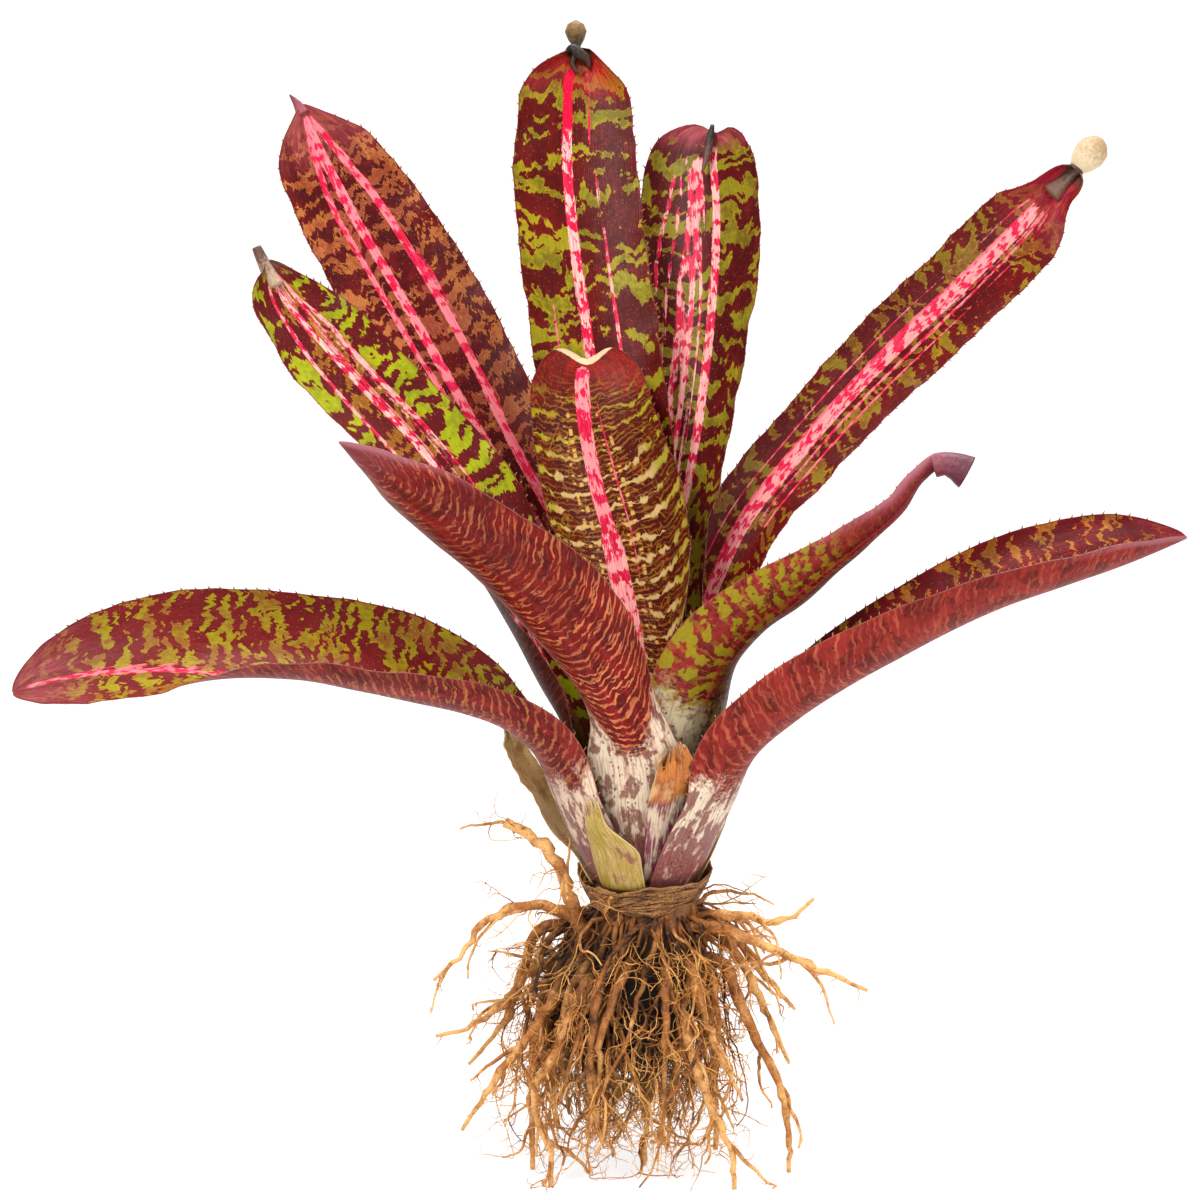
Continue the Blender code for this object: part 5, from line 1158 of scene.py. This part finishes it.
def make_roots():
    """The stem, the dark core and every root, from the thick ones to the finest threads."""
    draw = random.Random(SEED)
    thick, fine, threads = Tubes(), Tubes(), Tubes()
    mains = [(root_line(keys, 26), MAIN_ROOT_RADIUS, 0.42, keys[-1][2] == 0) for keys in FRONT_ROOTS]
    mains += [(root_line(standing_root(*values), 26), MAIN_ROOT_RADIUS, 0.4, True)
              for values in STANDING_ROOTS]
    mains += [(root_line(side_root(*values), 24), MAIN_ROOT_RADIUS, 0.4, False)
              for values in REAR_SIDE_ROOTS]
    for index in range(BALL_ROOTS):
        mains.append((root_line(ball_root(draw, index), 22), BALL_ROOT_RADIUS, 0.28, False))
    carriers = []
    for line, radius, tone, stands in mains:
        count = len(line)
        ends = [1.05, 0.86, 0.55, 0.34 if stands else 0.24] if line[-1, 2] < 110.0 else [1.0, 1.05, 0.95,
                0.75]
        taper = np.interp(np.linspace(0, 1, count), [0, 0.35, 0.7, 1], ends)
        lumps = 1.0 + 0.12 * np.array([draw.gauss(0, 0.7) for _ in line])
        sway = np.array([[draw.gauss(0, 0.45) for _ in range(3)] for _ in line])
        sway[0] = sway[-3:] = 0.0
        sway[:, 2] *= (line[:, 2] > 4.0)
        line = line + sway
        thick.add(line, radius * taper * lumps, 9, tone + draw.uniform(-0.2, 0.0), 0.6)
        carriers.append((line, radius, tone, 3))
    for line, radius, tone, _ in list(carriers):
        for _ in range(3):
            at = draw.randrange(len(line) // 3, len(line) - 3)
            along = unit(line[at + 2] - line[at - 2])
            side = unit(np.cross(along, np.array([draw.gauss(0, 1), draw.gauss(0, 1), draw.gauss(0, 1)])))
            branch = wander(draw, line[at], along + side * 0.8 + np.array([0, 0, -0.2]),
                            draw.uniform(16, 34), 14, 0.16, 0.05)
            size = radius * draw.uniform(0.28, 0.42)
            thick.add(branch, np.linspace(size, size * 0.4, len(branch)), 6, tone + 0.1, 0.4)
            carriers.append((branch, size, tone, 2))
    for index in range(DRAPED_ROOTS):
        keys = draped_root(draw, index)
        knots = np.concatenate([[0.0], np.cumsum(np.linalg.norm(np.diff(keys, axis=0), axis=1))])
        line = smooth_path(keys, knots, np.linspace(0.0, knots[-1], 24))
        wave = [draw.uniform(0.0, math.tau) for _ in range(3)]
        share = np.linspace(0.0, 1.0, len(line))[:, None]
        line += 3.2 * share * np.sin(share * draw.uniform(7.0, 15.0) + np.array(wave)[None, :])
        sway = np.array([[draw.gauss(0, 0.45) for _ in range(3)] for _ in line])
        line[1:] += sway[1:]
        radius = draw.uniform(0.55, 1.3)
        fine.add(line, np.linspace(radius, radius * 0.32, len(line)), 6, draw.uniform(-0.1, 0.35), 0.6)
        carriers.append((line, radius, 0.5, 1))
    for index in range(CROWN_ROOTS):
        turn = index * GOLDEN_ANGLE
        outward = np.array([math.cos(turn), math.sin(turn), draw.uniform(-0.9, 0.15)])
        start = np.array([16.5 * math.cos(turn), 16.5 * math.sin(turn), draw.uniform(86.0, 95.0)])
        line = wander(draw, start, outward, draw.uniform(14, 44), 16, 0.2, 0.05, 75.0)
        radius = draw.uniform(0.4, 1.0)
        fine.add(line, np.linspace(radius, radius * 0.3, len(line)), 5, draw.uniform(0.0, 0.4), 0.6)
        carriers.append((line, radius, 0.5, 1))
    centre = np.array(BALL_CENTRE)
    for index in range(BALL_FINE_ROOTS):
        tilt = math.acos(1.0 - 1.8 * (index + 0.5) / 170)
        turn = index * GOLDEN_ANGLE
        heading = np.array([math.sin(tilt) * math.cos(turn), math.sin(tilt) * math.sin(turn),
                            -math.cos(tilt) + 0.1])
        start = centre + heading * np.array(BALL_RADII) * draw.uniform(0.7, 1.05)
        line = wander(draw, start, heading * np.array([0.7, 0.7, 1.0]) + np.array([0, 0, -0.5]),
                      draw.uniform(16, 38), 14, 0.26, 0.08, 50.0)
        radius = draw.uniform(0.3, 0.75)
        fine.add(line, np.linspace(radius, radius * 0.35, len(line)), 5, draw.uniform(0.1, 0.7), 0.4)
        carriers.append((line, radius, 0.5, 1))
    for line, radius, tone, kind in carriers:
        low = line[:, 2].mean() < 58.0
        for _ in range({3: 5, 2: 3, 1: 5 if low else 2}[kind]):
            at = draw.randrange(3, len(line) - 1)
            along = unit(line[min(at + 1, len(line) - 1)] - line[at - 1])
            side = unit(np.cross(along, np.array([draw.gauss(0, 1), draw.gauss(0, 1), draw.gauss(0, 1)])))
            inside = math.hypot(line[at][0] - BALL_CENTRE[0], line[at][1]) < 46.0
            length = draw.uniform(8, 24) if inside else draw.uniform(2.5, 8.0)
            twig = wander(draw, line[at], side * 0.8 + along * 0.8 + np.array([0, 0, -0.3]), length, 9, 0.3,
                          0.06, 56.0)
            size = draw.uniform(0.16, 0.36)
            shade = draw.uniform(0.25, 0.95)
            threads.add(twig, np.linspace(size, size * 0.4, len(twig)), 3, shade, 0.3)
            for _ in range(draw.randrange(1, 4) if inside else 0):
                from_here = draw.randrange(2, len(twig) - 1)
                turn = np.array([draw.gauss(0, 1), draw.gauss(0, 1), draw.gauss(-0.3, 1)])
                hair = wander(draw, twig[from_here], turn, draw.uniform(4, 11), 5, 0.36, 0.0, 56.0)
                threads.add(hair, np.linspace(size * 0.6, size * 0.3, len(hair)), 3, shade, 0.3)
    bark = root_face("root_bark", (238, 182, 112), (172, 108, 54), (68, 38, 18))
    main_piece = thick.build("rootstock_roots", bark)
    fine.build("rootstock_fine_roots",
               root_face("root_fine", (236, 176, 102), (164, 100, 46), (48, 27, 13)))
    threads.build("rootstock_threads",
                  root_face("root_threads", (244, 184, 102), (196, 122, 54), (86, 46, 20)))

    # The core is near black low down and brown at the top: partly dark soil fibre, partly painted shade that
    # fills the dark gaps among the roots.
    core = Tubes()
    levels = np.linspace(0.0, 1.0, 22)
    radii = np.interp(levels, [0, 0.15, 0.35, 0.55, 0.72, 0.88, 1], [3, 16, 23, 23, 18.5, 17.2, 17.6])
    heights = np.interp(levels, [0, 0.15, 0.35, 0.55, 0.72, 0.88, 1], [36, 40, 52, 68, 84, 94, 100.5])
    line = np.stack([BALL_CENTRE[0] * (1 - smooth_step((heights - 60) / 25.0)), heights * 0.0, heights],
                    axis=1)
    core.add(line, radii, 40, -1.0, 2.1)
    stem = core.build("rootstock_core", root_face("root_core", (150, 100, 60), (86, 54, 32), (14, 8, 5)))
    shift = random.Random(9)
    for vertex in stem.data.vertices:
        if vertex.co.z < 0.098:
            rough = 0.02 + 0.05 * smooth_step((0.094 - vertex.co.z) / 0.01)
            vertex.co.x *= 1 + shift.gauss(0, rough)
            vertex.co.y *= 1 + shift.gauss(0, rough)
    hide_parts("rootstock")


def bark_face():
    """Old leaf bases worn to bark: long fibres, cracks and paler worn edges."""
    m = Surface("collar_bark", specular=0.2)
    across, along = m.leaf_place()
    fibre = m.noise(m.vector(along * 0.12, across * 1.3, 2.0), detail=5.0, roughness=0.65)
    cloud = m.noise(m.vector(along * 0.1, across * 0.25, 8.0), detail=2.0)
    grain = m.noise(m.point(), scale=1.1, detail=3.0)
    colour = m.mix(m.ramp(fibre * 0.7 + grain * 0.3, 0.42, 0.58), (78, 48, 28), (178, 126, 76))
    colour = m.mix(m.ramp(cloud, 0.48, 0.62, 0.6), colour, (92, 56, 32))
    colour = m.mix(m.ramp(fibre, 0.46, 0.38, 0.85), colour, (40, 24, 14))
    colour = m.mix(m.ramp(m.attribute("rim"), 0.7, 0.0, 0.4), colour, (200, 150, 92))
    return m.finish(colour, 0.7 + m.centred(grain, 0.2), fibre + grain * 0.5, 0.9, 0.7)


# The bands of the collar: (start angle, end angle, height of the middle at the start and at the end,
# width, lift off the ring)
COLLAR_BANDS = [(-150, 62, 97.5, 107.0, 6.6, 0.15), (-205, -128, 106.5, 95.0, 6.0, 0.6),
                (40, 215, 104.5, 98.0, 8.0, 0.0), (-118, 40, 96.0, 100.5, 5.0, -0.05),
                (150, 245, 97.0, 101.5, 5.5, 0.35), (-20, 70, 104.0, 102.0, 4.5, 0.3)]


def make_collar():
    """The collar: bark-like strips that wrap the foot of the leaves and overlap each other."""
    draw = random.Random(5)
    vertices, faces, uvs, rims = [], [], [], []
    for number, (start, end, first_height, last_height, width, lift) in enumerate(COLLAR_BANDS):
        columns = max(int(abs(end - start) / 2.5), 12)
        rows = 10
        lengthwise = np.linspace(0.0, 1.0, columns)
        edge_low = ripple(lengthwise * 60.0, np.array([0.0]), number + 3, (7.0, 13.0, 21.0))[:, 0] * 0.7
        edge_high = ripple(lengthwise * 60.0, np.array([0.0]), number + 13, (6.0, 11.0, 19.0))[:, 0] * 0.7
        ends = np.sqrt(np.clip(1.0 - (2.0 * lengthwise - 1.0) ** 8, 0.02, 1.0))
        grid = np.zeros((columns, rows, 3))
        for i, share in enumerate(lengthwise):
            angle = math.radians(start + (end - start) * share)
            middle = first_height + (last_height - first_height) * share + 0.7 * math.sin(3.0 * angle
                    + number)
            for j, side in enumerate(np.linspace(-1.0, 1.0, rows)):
                height = middle + side * width / 2 * ends[i] + (edge_high[i]
                        if side > 0 else edge_low[i]) * abs(side)
                height = min(max(height, COLLAR_BOTTOM - COLLAR_TILT - 1.0), COLLAR_TOP + COLLAR_TILT + 1.4)
                radius = COLLAR_RADIUS + COLLAR_OPENING * max(height - COLLAR_BEND, 0.0)
                radius += lift + 0.28 * (1.0 - side * side) + draw.gauss(0, 0.05)
                radius += 0.12 * math.sin(side * 9.0 + 4.0 * share)
                radius += (3.2 if number == 0 else 0.8) * smooth_step((share - 0.84) / 0.16)
                grid[i, j] = (radius * math.cos(angle), radius * math.sin(angle), height)
        base = len(vertices)
        outward = unit(grid * np.array([1.0, 1.0, 0.0]))
        vertices += (grid + outward * 0.22).reshape(-1, 3).tolist() + (grid - outward * 0.22).reshape(-1,
                3).tolist()
        front, back, band, _, _ = sheet_faces(columns, rows, base)
        faces += front + back + band
        place = np.stack([np.tile(np.linspace(-width / 2, width / 2, rows) + number * 9.0, columns),
                          np.repeat(lengthwise * abs(end - start) * 0.36, rows)], axis=1)
        uvs += place.tolist() * 2
        rim = np.tile((1.0 - np.abs(np.linspace(-1.0, 1.0, rows))) * width / 2, columns)
        rims += rim.tolist() * 2
    collar = mesh_object("collar_husk_bark", np.array(vertices), faces, [bark_face()])
    mesh = collar.data
    point_values(mesh, "rim", rims)
    lay_uvs(mesh, np.array(uvs))
    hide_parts("collar_husk")
    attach(collar, "root")


def tip_face(name, colours, specular=0.3):
    """A dried or swollen tip: two colours that run along it, with fine wrinkles."""
    m = Surface(name, specular=specular)
    place = m.point()
    wrinkles = m.noise(place, scale=0.8, detail=3.0)
    fine = m.noise(place, scale=3.0, detail=2.0)
    share = m.ramp(m.attribute("tone") + m.centred(wrinkles, 1.1), 0.15, 0.85)
    colour = m.mix(m.ramp(fine, 0.55, 0.7, 0.3), m.mix(share, *colours), (70, 44, 34))
    return m.finish(colour, 0.45 + m.centred(fine, 0.2), wrinkles + fine * 0.4, 0.6, 0.4)


# The tips: (name, points from the blade outwards, radii, two colours)
TIPS = [
    ("bulb_top", [(-24.0, 90.5, 393.5), (-24.2, 91.2, 395.6), (-24.4, 92.2, 398.0), (-24.6, 93.0, 401.0),
                  (-24.6, 93.6, 403.6), (-24.6, 93.8, 405.0)], [1.4, 1.4, 3.0, 4.1, 3.0, 0.6],
     [(66, 52, 26), (128, 96, 54)]),
    ("dried_bits", [(-28.5, 85.5, 393.0), (-26.0, 85.0, 394.6), (-23.2, 84.6, 392.6), (-20.6, 84.2, 390.8),
                    (-19.6, 83.8, 387.5)], [0.6, 1.9, 2.3, 1.7, 0.5], [(24, 17, 13), (58, 38, 26)]),
    ("dried_curl", [(-25.0, 85.0, 392.5), (-25.8, 83.6, 389.0), (-23.8, 83.0, 386.4), (-21.8, 83.2, 388.4)],
     [1.2, 1.0, 0.8, 0.3], [(30, 20, 14), (80, 54, 34)]),
    ("neck_right", [(152.0, 116.5, 341.0), (156.5, 118.0, 345.0), (160.0, 119.0, 348.5),
                    (163.5, 120.0, 351.5)],
     [4.2, 3.0, 2.6, 3.2], [(120, 92, 76), (74, 50, 42)]),
    ("bulb_right", [(162.0, 119.6, 350.3), (164.2, 120.4, 352.6), (167.0, 121.3, 355.6),
                    (169.6, 122.1, 358.4), (171.4, 122.7, 360.4), (172.2, 123.0, 361.2)],
                    [2.9, 4.9, 6.2, 5.6, 3.4, 0.8],
                    [(218, 198, 160), (178, 146, 108)]),
    ("stub_left", [(-130.5, 31.8, 310.5), (-133.0, 33.0, 315.0), (-135.5, 34.4, 320.0),
                   (-137.6, 35.3, 324.5)],
     [3.4, 2.6, 2.2, 1.7], [(176, 146, 120), (92, 62, 52)]),
    ("hook_right", [(25.5, 92.5, 367.0), (24.6, 90.5, 362.0), (23.4, 87.0, 356.0), (21.6, 83.5, 350.0)],
     [0.7, 1.7, 1.4, 0.4], [(34, 22, 20), (96, 66, 56)]),
    ("flare_right", [(98.0, -31.5, 252.2), (102.0, -31.6, 253.4), (105.6, -31.8, 252.6),
                     (109.5, -32.0, 250.6)],
     [3.6, 4.0, 4.8, 6.0], [(128, 62, 74), (96, 44, 58)]),
    ("spur_left", [(-124.5, 90.4, 371.0), (-126.6, 91.0, 374.6), (-129.4, 91.6, 378.0)], [2.6, 1.6, 0.3],
     [(150, 70, 76), (110, 44, 54)]),
]


def make_tips():
    """The swollen, hooked and dried ends of the leaves."""
    for name, keys, radii, colours in TIPS:
        piece = Tubes()
        keys = np.array(keys, dtype=float)
        knots = np.concatenate([[0.0], np.cumsum(np.linalg.norm(np.diff(keys, axis=0), axis=1))])
        places = np.linspace(0.0, knots[-1], 18)
        piece.add(smooth_path(keys, knots, places), np.interp(places, knots, radii), 16, 0.0, 1.0)
        piece.build("tip_" + name, tip_face("tip_" + name, colours), "leaf")


# The lights: (name, place, size and power, and the point each faces), in metres and watts
LIGHTS = [("key", (-0.8, -1.2, 1.6), 0.6, 34.0, (0, 0, 0.2)),
          ("fill", (1.3, -1.1, 0.8), 0.8, 13.0, (0, 0, 0.2)),
          ("top", (0.1, 0.5, 1.7), 0.8, 18.0, (0, 0, 0.1)),
          ("backdrop", (0.0, 1.2, 2.4), 2.2, 30.0, (0, 2.6, 0.4))]
# How strongly the paper glows, and the even light from all round
PAPER_GLOW = 0.78
ROOM_LIGHT = 0.42


def make_stage():
    """A pale sweep, soft light from above and both sides, and the camera."""
    profile = [(-3.0, 0.0), (1.6, 0.0), (2.1, 0.06), (2.5, 0.25), (2.75, 0.6), (2.85, 1.2), (2.9, 4.0)]
    vertices = [(x, y, z) for y, z in profile for x in (-4.0, 4.0)]
    faces = [(2 * i, 2 * i + 1, 2 * i + 3, 2 * i + 2) for i in range(len(profile) - 1)]
    sweep = mesh_object("stage_sweep", np.array(vertices) / MM, faces, [])
    m = Surface("stage_paper", specular=0.2)
    grain = m.noise(m.point(), scale=0.05, detail=2.0)
    paper = m.finish(m.mix(grain, (150, 149, 148), (146, 145, 144)), 0.9, grain, 0.02, 0.1)
    m.shader.inputs["Emission Color"].default_value = (1.0, 1.0, 1.0, 1.0)
    m.shader.inputs["Emission Strength"].default_value = PAPER_GLOW
    sweep.data.materials.append(paper)
    for name, place, size, power, target in LIGHTS:
        light = bpy.data.objects.new(name, bpy.data.lights.new(name, "AREA"))
        light.data.energy = power
        light.data.size = size
        light.location = place
        light.rotation_euler = (Vector(target) - Vector(place)).to_track_quat("-Z", "Y").to_euler()
        bpy.context.scene.collection.objects.link(light)
    world = bpy.data.worlds.new("studio")
    world.use_nodes = True
    world.node_tree.nodes["Background"].inputs["Color"].default_value = (1.0, 1.0, 1.0, 1.0)
    world.node_tree.nodes["Background"].inputs["Strength"].default_value = ROOM_LIGHT
    scene = bpy.context.scene
    scene.world = world
    camera = bpy.data.objects.new("camera", bpy.data.cameras.new("camera"))
    camera.data.lens = 128.57
    camera.data.sensor_width = 36.0
    camera.data.clip_end = 20.0
    camera.location = (-0.01575, -1.4888, 0.3856)
    camera.rotation_euler = Vector((0.0, 0.99255, -0.12187)).to_track_quat("-Z", "Y").to_euler()
    scene.collection.objects.link(camera)
    scene.camera = camera
    scene.view_settings.view_transform = "Standard"
    scene.view_settings.look = "None"


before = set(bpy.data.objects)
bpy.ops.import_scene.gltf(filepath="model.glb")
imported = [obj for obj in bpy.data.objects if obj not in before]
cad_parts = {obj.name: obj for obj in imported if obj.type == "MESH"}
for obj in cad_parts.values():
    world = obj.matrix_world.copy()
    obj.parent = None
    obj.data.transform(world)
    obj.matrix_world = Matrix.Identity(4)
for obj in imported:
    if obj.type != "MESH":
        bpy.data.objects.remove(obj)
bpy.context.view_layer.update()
MATERIALS = {"margin": margin_face()}
make_stage()
for leaf_name, leaf_spec in LEAVES.items():
    if leaf_name in DRY_LOOKS:
        make_dry_piece(leaf_name, leaf_spec, DRY_LOOKS[leaf_name])
    else:
        make_leaf(leaf_name, leaf_spec, LOOKS[leaf_name])
make_collar()
make_roots()
make_tips()
